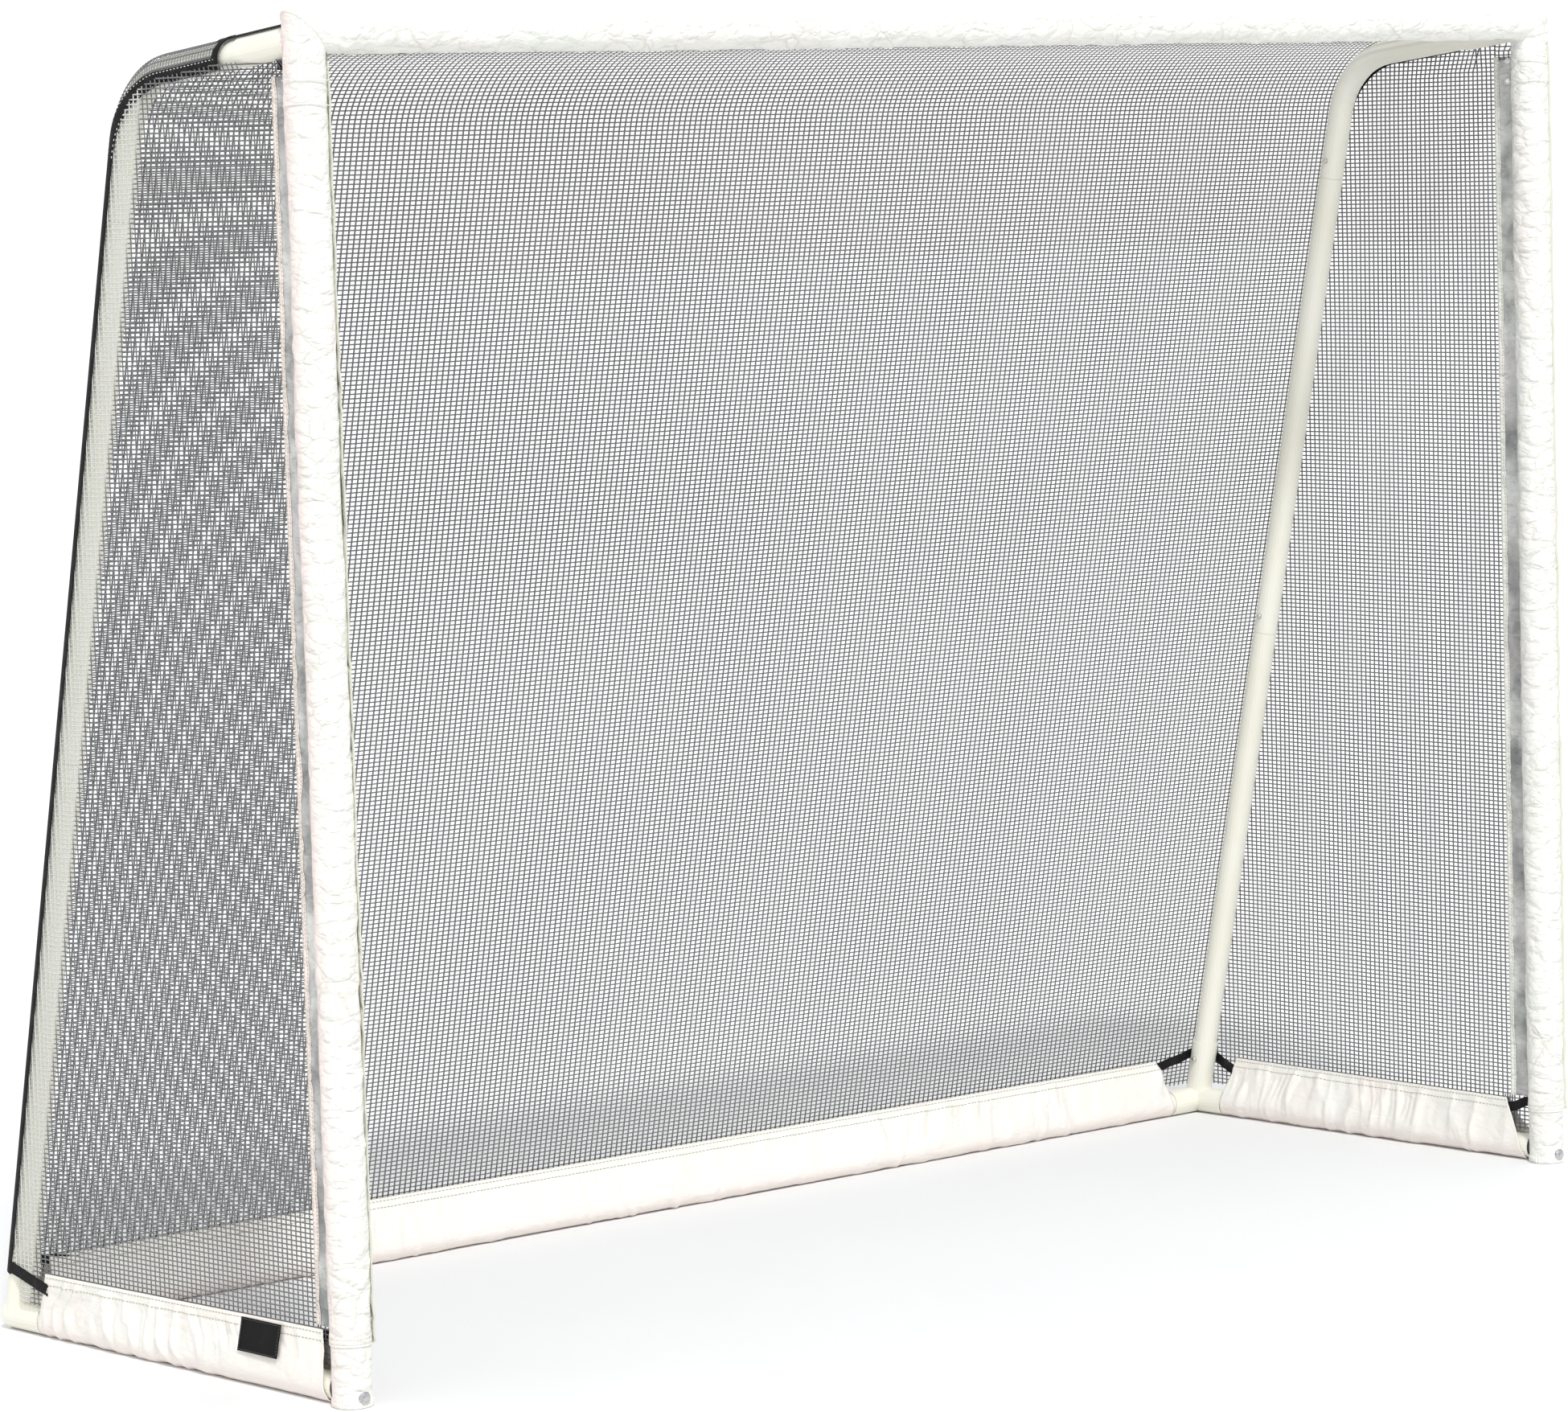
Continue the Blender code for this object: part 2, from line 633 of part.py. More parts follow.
def post_sleeve(side):
    """Fabric tube on the post, cut on the mitre at the top."""
    down = CROSSBAR_Z - SLEEVE_HEM_Z
    stages = [("post", down, SLEEVE_R), ("mitre", GAP, SLEEVE_R), ("mitre", GAP, SLEEVE_BORE_R),
              ("post", down, SLEEVE_BORE_R)]
    part = ring_loft(f"post_sleeve_{SIDE_NAMES[side]}", mitred_rings(side, stages),
                     "white_sleeve")
    boolean(part, sleeve_cutter(side), "DIFFERENCE")


def crossbar_sleeve():
    """Fabric tube on the crossbar, cut on the mitre at both ends."""
    rings = []
    for radius, sides in ((SLEEVE_R, (-1, 1)), (SLEEVE_BORE_R, (1, -1))):
        for side in sides:
            rings += mitred_rings(side, [("mitre", -GAP, radius)])
    part = ring_loft("crossbar_sleeve", rings, "white_sleeve")
    for side in SIDE_NAMES:
        boolean(part, sleeve_cutter(side), "DIFFERENCE")


# ---- net -----------------------------------------------------------------------------------

def net_spread(y, knee_y):
    """How far outside the post's plane the side net lies at a depth."""
    front = POST_Y + NET_FRONT
    return NET_OFFSET * min(1.0, (y - front) / (knee_y - front))


def seam_path(side):
    """Edge of the side net: up behind the leg, round the bend and forward under the top tube."""
    behind_leg = Vector((0.0, math.cos(LEAN), math.sin(LEAN)))
    leg = [Vector((side * POST_X, leg_y(z), z)) + behind_leg * TUBE_R
           for z in (NET_BOTTOM_Z, 0.12, 0.5, 1.0, 1.5)]
    steps = 6
    under = -0.012
    arc = bend_points(side, 0.0, steps)
    centre = arc[0] + Vector((0.0, -math.sin(TOP_FALL), -math.cos(TOP_FALL))) * BEND_R
    bend = []
    for step, point in enumerate(reversed(arc)):
        offset = TUBE_R + (under - TUBE_R) * step / steps
        bend.append(point + (point - centre).normalized() * offset)
    below_top = Vector((0.0, math.sin(TOP_FALL), math.cos(TOP_FALL))) * under
    top = [top_point(SEAM_START + 0.025, side) + below_top]
    return leg + bend + top


def net_side(side):
    """Side net: straight from its front edge to a knee, then flat along the rear tube."""
    front_y = POST_Y + NET_FRONT
    rows = []
    path = seam_path(side)
    foot_run = path[0].y - NET_KNEE - front_y
    skirt_run = SKIRT_SIDE_END + 0.002 - NET_FRONT
    shares = (0.0, skirt_run / foot_run, (skirt_run + 0.004) / foot_run, 1.0)
    for index, edge in enumerate(path):
        front_z = min(edge.z, NET_FRONT_TOP_Z - 0.001 * (len(path) - 1 - index))
        run = edge.y - NET_KNEE - front_y
        # The two lowest rows have upright columns, which clear the skirt's end.
        ahead = [share * (foot_run if index < 2 and share < 1.0 else run) for share in shares]
        row = []
        for distance in ahead:
            z = front_z + (edge.z - front_z) * distance / (edge.y - front_y)
            out = NET_OFFSET * distance / run
            row.append(Vector((side * (POST_X + out), front_y + distance, z)))
        row.append(Vector((side * (POST_X + NET_OFFSET), edge.y, edge.z)))
        rows.append(row)
    for point in rows[0][:2]:
        point.z = NET_TUCK_Z
    place = SIDE_NAMES[side]
    part = cloth_part(f"net_side_{place}", rows, NET_THICK, "dark_net")
    # The net also fills the open corner between the skirt and the post.
    start, end = SLEEVE_R + 2 * GAP, NET_FRONT + 0.004
    low, high = NET_BOTTOM_Z, HEM_BOTTOM_Z - 2 * GAP
    corner = add_helper(
        f"net_front_corner_{place}",
        box_mesh(f"net_front_corner_{place}", (NET_THICK * 0.8, end - start, high - low)),
        Matrix.Translation((side * POST_X, POST_Y + (start + end) / 2, (low + high) / 2)))
    boolean(part, corner, "UNION")


def net_back():
    """Back net: behind the legs and round the bend."""
    behind_leg = Vector((0.0, math.cos(LEAN), math.sin(LEAN)))
    half = POST_X + NET_OFFSET - NET_THICK / 2 - GAP
    skirt_end = POST_X - SKIRT_BACK_END
    columns = [half, skirt_end + 0.004, skirt_end]
    columns += [-x for x in reversed(columns)]
    levels = [leg_point(height, 1) + behind_leg * NET_OFFSET
              for height in (NET_BOTTOM_Z, NET_TUCK_Z, 0.12)]
    rows = []
    for level in [*levels, *reversed(bend_points(1, NET_OFFSET))]:
        rows.append([(x, level.y, level.z) for x in reversed(columns)])
    foot, tuck = rows[0], rows.pop(1)
    rows[0] = [foot[0], foot[1], tuck[2], tuck[3], foot[4], foot[5]]
    cloth_part("net_back", rows, NET_THICK, "dark_net")


def net_top():
    """Top net: over the top tubes, from the bend to the crossbar sleeve."""
    above = Vector((0.0, math.sin(TOP_FALL), math.cos(TOP_FALL))) * NET_OFFSET
    rear = bend_points(1, NET_OFFSET)[0] - TOP_DIRECTION * GAP
    front = top_point(SLEEVE_R - 0.0010, 1) + above
    half = POST_X + NET_OFFSET - NET_THICK / 2 - GAP
    rows = [[(-half, p.y, p.z), (half, p.y, p.z)] for p in (rear, front)]
    cloth_part("net_top", rows, NET_THICK, "dark_net")


def net_hem(side):
    """White strip that joins the side net's front edge to the post sleeve."""
    name = f"net_hem_{SIDE_NAMES[side]}"
    start = SLEEVE_R + GAP
    size = (CLOTH, NET_FRONT - GAP - start, HEM_TOP_Z - HEM_BOTTOM_Z)
    middle = (side * POST_X, POST_Y + start + size[1] / 2, (HEM_TOP_Z + HEM_BOTTOM_Z) / 2)
    add_part(name, box_mesh(name, size), "white_sleeve", Matrix.Translation(middle))


def seam_webbing(side):
    """Webbing along the outside of the side net's edge."""
    name = f"seam_webbing_{SIDE_NAMES[side]}"
    path = seam_path(side)
    path[0] = path[0] + (path[1] - path[0]) * 0.1
    edges = {-1: [], 1: []}
    for index, point in enumerate(path):
        before = path[max(index - 1, 0)]
        after = path[min(index + 1, len(path) - 1)]
        along = (after - before).normalized()
        normal = Vector((0.0, -along.z, along.y))
        for sign, edge in edges.items():
            edge.append(point + normal * (sign * SEAM_WIDTH / 2))
    outside = side * (POST_X + NET_OFFSET + NET_THICK / 2 + 2 * GAP + SEAM_THICK / 2)
    rows = [[(outside, p.y, p.z), (outside, q.y, q.z)] for p, q in zip(edges[-1], edges[1])]
    cloth_part(name, rows, SEAM_THICK, "black_webbing")


# ---- skirts --------------------------------------------------------------------------------

def tangent_angle(out, height, way):
    """Angle at which a line from a point touches the skirt's round, on one side of it."""
    rise = height - BASE_Z
    return math.atan2(rise, out) + way * math.acos(SKIRT_R / math.hypot(out, rise))


def skirt_section(apex):
    """Cloth folded round a base tube: points (outward, height) from inner top to outer top.

    apex is how far outside the base tube's axis the net, which the skirt holds, stands.
    """
    part = NET_THICK / 2 + 3 * GAP + CLOTH / 2
    turn_steps = 11
    begin = tangent_angle(apex - part, SKIRT_TOP_Z, 1)
    finish = tangent_angle(apex + part, SKIRT_TOP_Z, -1) + math.tau
    section = [(apex - part, SKIRT_TOP_Z)]
    for step in range(turn_steps + 1):
        angle = begin + (finish - begin) * step / turn_steps
        section.append((SKIRT_R * math.cos(angle), BASE_Z + SKIRT_R * math.sin(angle)))
    section.append((apex + part, SKIRT_TOP_Z))
    return section


def side_apex(y):
    """How far out the side net stands at the top of the skirt."""
    edge_y = leg_y(SKIRT_TOP_Z) + TUBE_R * math.cos(LEAN)
    return net_spread(y, edge_y - NET_KNEE)


def skirt_side(side):
    rows = []
    pieces = 10
    for index in range(pieces + 1):
        y = POST_Y + SKIRT_SIDE_START + (SKIRT_SIDE_END - SKIRT_SIDE_START) * index / pieces
        rows.append([(side * (POST_X + out), y, z) for out, z in skirt_section(side_apex(y))])
    cloth_part(f"skirt_{SIDE_NAMES[side]}", rows, CLOTH, "white_skirt")


def skirt_back():
    apex = leg_y(SKIRT_TOP_Z) + NET_OFFSET / math.cos(LEAN) - BACK_Y
    half = POST_X - SKIRT_BACK_END
    section = skirt_section(apex)
    rows = [[(x, BACK_Y + out, z) for out, z in section] for x in (-half, half)]
    cloth_part("skirt_back", rows, CLOTH, "white_skirt")


# ---- straps, label and ties ----------------------------------------------------------------

def rear_strap(side):
    """Webbing round the outside of the upright, from the back skirt to the side skirt."""
    radius = SOCKET_R + GAP + STRAP_THICK / 2
    plan = [(-0.091, radius), (-0.030, radius)]
    for step in range(7):
        angle = math.pi / 2 * (1 - step / 6)
        plan.append((radius * math.cos(angle), radius * math.sin(angle)))
    plan += [(radius - 0.0004, -0.020), (radius - 0.0016, -0.052)]
    centre = Vector((side * POST_X, leg_y(REAR_STRAP_Z), REAR_STRAP_Z))
    behind_leg = Vector((0.0, math.cos(LEAN), math.sin(LEAN)))
    rows = []
    for height in (-REAR_STRAP_HALF, REAR_STRAP_HALF):
        base = centre - LEG_DIRECTION * height
        rows.append([base + Vector((side * out, 0, 0)) + behind_leg * back for out, back in plan])
    cloth_part(f"rear_strap_{SIDE_NAMES[side]}", rows, STRAP_THICK, "black_webbing")


def front_strap(side):
    """Short webbing tab between the side skirt's front corner and the post."""
    name = f"front_strap_{SIDE_NAMES[side]}"
    start = SLEEVE_R + 2 * GAP
    size = (STRAP_THICK, 0.042, 0.016)
    inboard = side * (POST_X - 0.0030)
    add_part(name, box_mesh(name, size), "black_webbing",
             Matrix.Translation((inboard, POST_Y + start + size[1] / 2, 0.089)))


def label_patch():
    """Blank woven label on the outside of the left skirt, near the front post."""
    length, height, thickness = LABEL_SIZE
    corners = []
    for y in (POST_Y + LABEL_START, POST_Y + LABEL_START + length):
        low, high = skirt_section(side_apex(y))[-2:]
        corners.append([Vector((-POST_X - out, y, z)) for out, z in (low, high)])
    (low_front, high_front), (low_rear, high_rear) = corners
    up = (high_front + high_rear - low_front - low_rear).normalized()
    along = (high_front + low_front - high_rear - low_rear).normalized()
    outward = along.cross(up).normalized()
    along = up.cross(outward)
    lift = CLOTH / 2 + 4 * GAP + thickness / 2
    centre = (high_front + high_rear) / 2 - up * (height / 2 + 0.004) + outward * lift
    turn = Matrix((along, up, outward)).transposed().to_4x4()
    add_part("label_patch", box_mesh("label_patch", LABEL_SIZE), "black_label",
             Matrix.Translation(centre) @ turn)


def net_tie(side):
    """Two cord loops round the post sleeve, with a toggle on each and a cord between them."""
    place = SIDE_NAMES[side]
    name = f"net_tie_{place}"
    loop_r = SLEEVE_R + GAP + TIE_CORD_R
    toggle_angle = math.radians(115 if side > 0 else 65)
    toggle_at = Vector((loop_r * math.cos(toggle_angle), loop_r * math.sin(toggle_angle), 0.0))
    toggle_at *= (loop_r + 0.0030) / loop_r
    centre = Vector((side * POST_X, POST_Y, 0.0))
    link_low = centre + toggle_at + Vector((0, 0, TIE_Z[0]))
    link = rod_mesh(name, TIE_CORD_R, TIE_Z[1] - TIE_Z[0], 8)
    part = add_part(name, link, "white_plastic", Matrix.Translation(link_low))
    for number, height in enumerate(TIE_Z):
        bpy.ops.mesh.primitive_torus_add(
            major_segments=32, minor_segments=8, major_radius=loop_r, minor_radius=TIE_CORD_R,
            location=centre + Vector((0, 0, height)))
        loop = bpy.context.active_object
        mesh = loop.data
        bpy.data.objects.remove(loop, do_unlink=True)
        boolean(part, add_helper(f"tie_loop_{number}_{place}", mesh,
                                 Matrix.Translation(centre + Vector((0, 0, height)))), "UNION")
        toggle = bpy.data.meshes.new(f"tie_toggle_{number}_{place}")
        shape = bmesh.new()
        bmesh.ops.create_uvsphere(shape, u_segments=12, v_segments=8, radius=0.0038)
        shape.to_mesh(toggle)
        shape.free()
        stretch = Matrix.Diagonal((1.0, 1.0, 1.9, 1.0))
        tangent = Vector((-toggle_at.y, toggle_at.x, 0.0))
        at = aim(centre + toggle_at + Vector((0, 0, height)), tangent) @ stretch
        boolean(part, add_helper(f"tie_toggle_{number}_{place}", toggle, at), "UNION")


# ---- assembly ------------------------------------------------------------------------------

def build():
    empty_scene()
    collection(GOAL)
    collection("cutters")
    crossbar()
    back_base_tubes()
    crossbar_sleeve()
    net_back()
    net_top()
    skirt_back()
    label_patch()
    for side in SIDE_NAMES:
        top_corner(side)
        front_post(side)
        foot_cap(side)
        foot_bolt(side)
        base_end_plug(side)
        side_base_tube(side)
        base_corner(side)
        rear_bend_tube(side)
        rear_upright(side)
        post_sleeve(side)
        net_side(side)
        net_hem(side)
        seam_webbing(side)
        skirt_side(side)
        rear_strap(side)
        front_strap(side)
        net_tie(side)
        for joint in JOINT_Z:
            snap_button(joint, side)
            snap_spring(joint, side)


build()
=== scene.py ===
"""Looks of the portable hockey goal: nets, fabric sleeves and skirts, webbing and finishes.

Everything is in metres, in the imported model's frame: X along the crossbar, Y from the mouth
towards the back, Z up. Shapes repeat left and right; side is -1 on the left and 1 on the right.
"""
import math

import bpy
import numpy as np
from mathutils import Matrix, Vector


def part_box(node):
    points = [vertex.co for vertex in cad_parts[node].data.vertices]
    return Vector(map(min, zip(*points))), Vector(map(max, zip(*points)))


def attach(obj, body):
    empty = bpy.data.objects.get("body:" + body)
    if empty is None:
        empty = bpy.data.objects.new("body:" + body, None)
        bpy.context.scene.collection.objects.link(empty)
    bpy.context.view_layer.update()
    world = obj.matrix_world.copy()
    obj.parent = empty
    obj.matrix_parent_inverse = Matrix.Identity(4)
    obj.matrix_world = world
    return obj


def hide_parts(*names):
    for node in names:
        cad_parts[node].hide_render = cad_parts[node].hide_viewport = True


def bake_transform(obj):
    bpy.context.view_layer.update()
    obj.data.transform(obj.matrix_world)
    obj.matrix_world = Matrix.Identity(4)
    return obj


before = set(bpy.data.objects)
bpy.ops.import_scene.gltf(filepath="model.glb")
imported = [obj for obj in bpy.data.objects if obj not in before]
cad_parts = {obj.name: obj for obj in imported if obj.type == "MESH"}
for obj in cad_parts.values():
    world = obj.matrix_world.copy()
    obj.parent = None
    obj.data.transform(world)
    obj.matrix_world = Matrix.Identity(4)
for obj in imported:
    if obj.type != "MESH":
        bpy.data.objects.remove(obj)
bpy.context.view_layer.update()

# ---- sizes ---------------------------------------------------------------------------------

SIDE_NAMES = {-1: "left", 1: "right"}

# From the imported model
low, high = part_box("post_sleeve_right")
SLEEVE_R = (high.x - low.x) / 2
POST_X = (high.x + low.x) / 2
POST_Y = (high.y + low.y) / 2
CROSSBAR_Z = high.z - SLEEVE_R
SLEEVE_HEM_Z = low.z
low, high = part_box("back_base_tube_right")
BASE_Z = (high.z + low.z) / 2
BACK_Y = (high.y + low.y) / 2
BASE_DEPTH = BACK_Y - POST_Y

# Line of the rear tube, seen from the side
TOP_AXIS_Z = 1.795
TOP_FALL = math.radians(6.2)
LEAN = math.radians(12.76)
BEND_R = 0.120

# Net
NET_FRONT = 0.068  # front edge of the side net, behind the post axis
NET_KNEE = 0.049
NET_BOTTOM_Z = 0.046
NET_TUCK_Z = 0.0885
COLUMN_PITCH = 0.0103
ROW_PITCH = 0.0066
STRAND_HALF_WIDTH = 0.00150
ROW_HALF_WIDTH = 0.00100
STRAND_HALF_THICK = 0.00055
# Half width of a cord, and how far outward of the net's middle it lies
COLUMN_CORD = (STRAND_HALF_WIDTH, -0.0002)
ROW_CORD = (ROW_HALF_WIDTH, 0.0002)
SIDE_PITCH = COLUMN_PITCH * 0.98

# Fabric
POST_R = 0.0254
HEM_BOTTOM_Z = 0.100
HEM_TOP_Z = 1.748
SKIRT_TOP_Z = 0.095
SKIRT_R = 0.0203
SKIRT_FRONT = {-1: 0.056, 1: 0.080}  # top corners of the side skirts, behind the post axis
SKIRT_REAR = {-1: 0.672, 1: 0.698}
SKIRT_SIDE_FOOT = 0.703  # rear end of a side skirt where it lies under the tube
SKIRT_BACK_END = {-1: 0.056, 1: 0.095}  # from the legs' planes
SEAM_START = 0.165
REAR_STRAP_Z = 0.094
REAR_STRAP_FALL = 0.18  # slope of the rear strap towards the back skirt
SIDE_STRAP_FALL = {-1: 0.03, 1: 0.18}  # and towards the side skirt
STRAP_WIDTH = 0.0165
TAPE_THICK = 0.0011
CORNER_NET_END = {-1: -0.019, 1: 0.0}  # side net's edge below the rear strap, from the leg's axis
TIE_Z = (1.709, 1.741)
TIE_CORD_R = 0.0008


# ---- small helpers -------------------------------------------------------------------------

def lattice(column, row, seed):
    """A repeatable value from 0 to 1 for each whole-number place."""
    value = np.sin(column * 127.1 + row * 311.7 + seed * 74.7) * 43758.5453
    return value - np.floor(value)


def noise(u, v, seed=0):
    """Smooth noise from -1 to 1, with one bump per unit."""
    u, v = np.broadcast_arrays(np.asarray(u, float), np.asarray(v, float))
    column, row = np.floor(u), np.floor(v)
    u, v = u - column, v - row
    u, v = u * u * (3 - 2 * u), v * v * (3 - 2 * v)
    low_row = lattice(column, row, seed) * (1 - u) + lattice(column + 1, row, seed) * u
    high_row = lattice(column, row + 1, seed) * (1 - u) + lattice(column + 1, row + 1, seed) * u
    return (low_row * (1 - v) + high_row * v) * 2 - 1


def creases(u, v, seed=0, sharp=3.0):
    """Narrow folds that wander: 1 on a fold's crest, near 0 between folds."""
    return (1 - np.abs(noise(u, v, seed))) ** sharp


def fade(value, start, end):
    """0 before start, 1 after end, smooth between."""
    part = np.clip((value - start) / (end - start), 0, 1)
    return part * part * (3 - 2 * part)


def hump(value, centre, half_width):
    """1 at the centre, falling smoothly to 0."""
    return np.exp(-((value - centre) / half_width) ** 2)


def spread(*arrays):
    """Arrays of one shape, or that broadcast to one, side by side along a new last axis."""
    return np.stack(np.broadcast_arrays(*arrays), axis=-1)


def unit(vectors):
    return vectors / np.maximum(np.linalg.norm(vectors, axis=-1, keepdims=True), 1e-12)


def make_mesh(name, points, quads, cloth=None):
    """A smooth mesh from arrays; cloth holds each point's place on the flat fabric."""
    mesh = bpy.data.meshes.new(name)
    mesh.vertices.add(len(points))
    mesh.vertices.foreach_set("co", np.ascontiguousarray(points, np.float32).ravel())
    mesh.loops.add(quads.size)
    mesh.loops.foreach_set("vertex_index", np.ascontiguousarray(quads, np.int32).ravel())
    mesh.polygons.add(len(quads))
    mesh.polygons.foreach_set("loop_start", np.arange(0, quads.size, 4, dtype=np.int32))
    mesh.update(calc_edges=True)
    mesh.shade_smooth()
    if cloth is not None:
        flat = np.zeros((len(points), 3), np.float32)
        flat[:, :2] = cloth
        layer = mesh.attributes.new("cloth", "FLOAT_VECTOR", "POINT")
        layer.data.foreach_set("vector", flat.ravel())
    return mesh


def grid_quads(rows, columns, wrap=False, flip=False):
    index = np.arange(rows * columns).reshape(rows, columns)
    if wrap:
        index = np.concatenate((index, index[:, :1]), axis=1)
    corners = [index[:-1, :-1], index[:-1, 1:], index[1:, 1:], index[1:, :-1]]
    if flip:
        corners.reverse()
    return np.stack(corners, axis=-1).reshape(-1, 4)


def grid_mesh(name, points, cloth=None, flip=False, drop=None):
    """A sheet from an array of points (rows, columns, 3); drop marks points to cut out."""
    rows, columns = points.shape[:2]
    quads = grid_quads(rows, columns, flip=flip)
    if drop is not None:
        quads = quads[~drop.ravel()[quads].all(axis=1)]
        used, places = np.unique(quads, return_inverse=True)
        quads = places.reshape(-1, 4)
        points = points.reshape(-1, 3)[used]
        cloth = None if cloth is None else cloth.reshape(-1, 2)[used]
    return make_mesh(name, points.reshape(-1, 3), quads,
                     None if cloth is None else cloth.reshape(-1, 2))


def sweep(runs, outward, section, closed=False, scale=None):
    """Points and quads of cords swept along runs (cords, samples, 3).

    section is a loop of (across, outward) pairs; scale makes a cord thinner at a sample.
    """
    section = np.asarray(section, float)
    if closed:
        along = np.roll(runs, -1, axis=1) - np.roll(runs, 1, axis=1)
    else:
        along = np.gradient(runs, axis=1)
    across = unit(np.cross(along, outward))
    up = unit(np.cross(across, along))
    size = np.ones(runs.shape[:2]) if scale is None else np.broadcast_to(scale, runs.shape[:2])
    offsets = across[:, :, None] * section[:, 0, None] + up[:, :, None] * section[:, 1, None]
    rings = runs[:, :, None] + offsets * size[:, :, None, None]
    cords, samples, sides = rings.shape[:3]
    index = np.arange(cords * samples * sides).reshape(cords, samples, sides)
    around = np.roll(index, -1, axis=2)
    if closed:
        ahead, ahead_around = np.roll(index, -1, axis=1), np.roll(around, -1, axis=1)
        quads = spread(index, around, ahead_around, ahead).reshape(-1, 4)
        return rings.reshape(-1, 3), quads
    quads = [spread(index[:, :-1], around[:, :-1], around[:, 1:], index[:, 1:]).reshape(-1, 4)]
    for first in range(0, sides - 2, 2):
        corners = [0, first + 1, first + 2, (first + 3) % sides]
        quads.append(index[:, 0][:, corners[::-1]])
        quads.append(index[:, -1][:, corners])
    return rings.reshape(-1, 3), np.concatenate(quads)


def diamond(half_width, half_thick):
    return [(half_width, 0), (0, half_thick), (-half_width, 0), (0, -half_thick)]


def circle(count):
    """Angles at even distances round a closed circle."""
    return np.linspace(0, math.tau, count, endpoint=False)


def round_section(radius, sides=8):
    angles = np.arange(sides) * math.tau / sides
    return spread(np.cos(angles), np.sin(angles)) * radius


def join(parts):
    """One (points, quads) pair from several."""
    points, quads, start = [], [], 0
    for part_points, part_quads in parts:
        points.append(part_points)
        quads.append(part_quads + start)
        start += len(part_points)
    return np.concatenate(points), np.concatenate(quads)


def reach_along(path):
    """Distance along a path at each of its points."""
    return np.concatenate(([0], np.cumsum(np.linalg.norm(np.diff(path, axis=0), axis=1))))


def read_path(path, reach, places):
    """Points of a path at distances along it."""
    return spread(*(np.interp(places, reach, column) for column in path.T))


def even(path, count):
    """A path (points, n) sampled again at even distances."""
    path = np.asarray(path, float)
    reach = reach_along(path)
    return read_path(path, reach, np.linspace(0, reach[-1], count))


def path_length(path):
    return float(np.linalg.norm(np.diff(np.asarray(path, float), axis=0), axis=1).sum())


def new_object(name, data):
    thing = bpy.data.objects.new(name, data)
    bpy.context.scene.collection.objects.link(thing)
    return thing


def add_piece(name, mesh, material, replaces=(), thickness=0.0):
    """A piece on the goal's frame, with a cloth thickness if it needs one."""
    thing = new_object(name, mesh)
    mesh.materials.append(material)
    if thickness:
        shell = thing.modifiers.new("cloth_thickness", "SOLIDIFY")
        shell.thickness = thickness
        shell.offset = 0.0
    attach(thing, "frame")
    if replaces:
        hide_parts(*replaces)
    return thing


def cloth_piece(name, points, cloth, material, replaces=(), thickness=0.0, flip=False,
                drop=None):
    """A piece of cloth from an array of points and their places on the flat fabric."""
    return add_piece(name, grid_mesh(name, points, cloth, flip, drop), material, replaces,
                     thickness)


def cord_piece(name, parts, material, replaces=()):
    """A piece from swept cords."""
    return add_piece(name, make_mesh(name, *join(parts)), material, replaces)


# ---- materials -----------------------------------------------------------------------------

WEAVE = 330.0  # scale of the fabric's threads
MIX_INPUTS = (0, 6, 7)  # a colour mix node's factor and its two colours


def feed(tree, socket, value):
    """Joins a node's output to a socket, or sets the socket to a constant."""
    if isinstance(value, bpy.types.NodeSocket):
        tree.links.new(value, socket)
    elif socket.type == "RGBA":
        socket.default_value = (*value, 1.0)
    else:
        socket.default_value = value


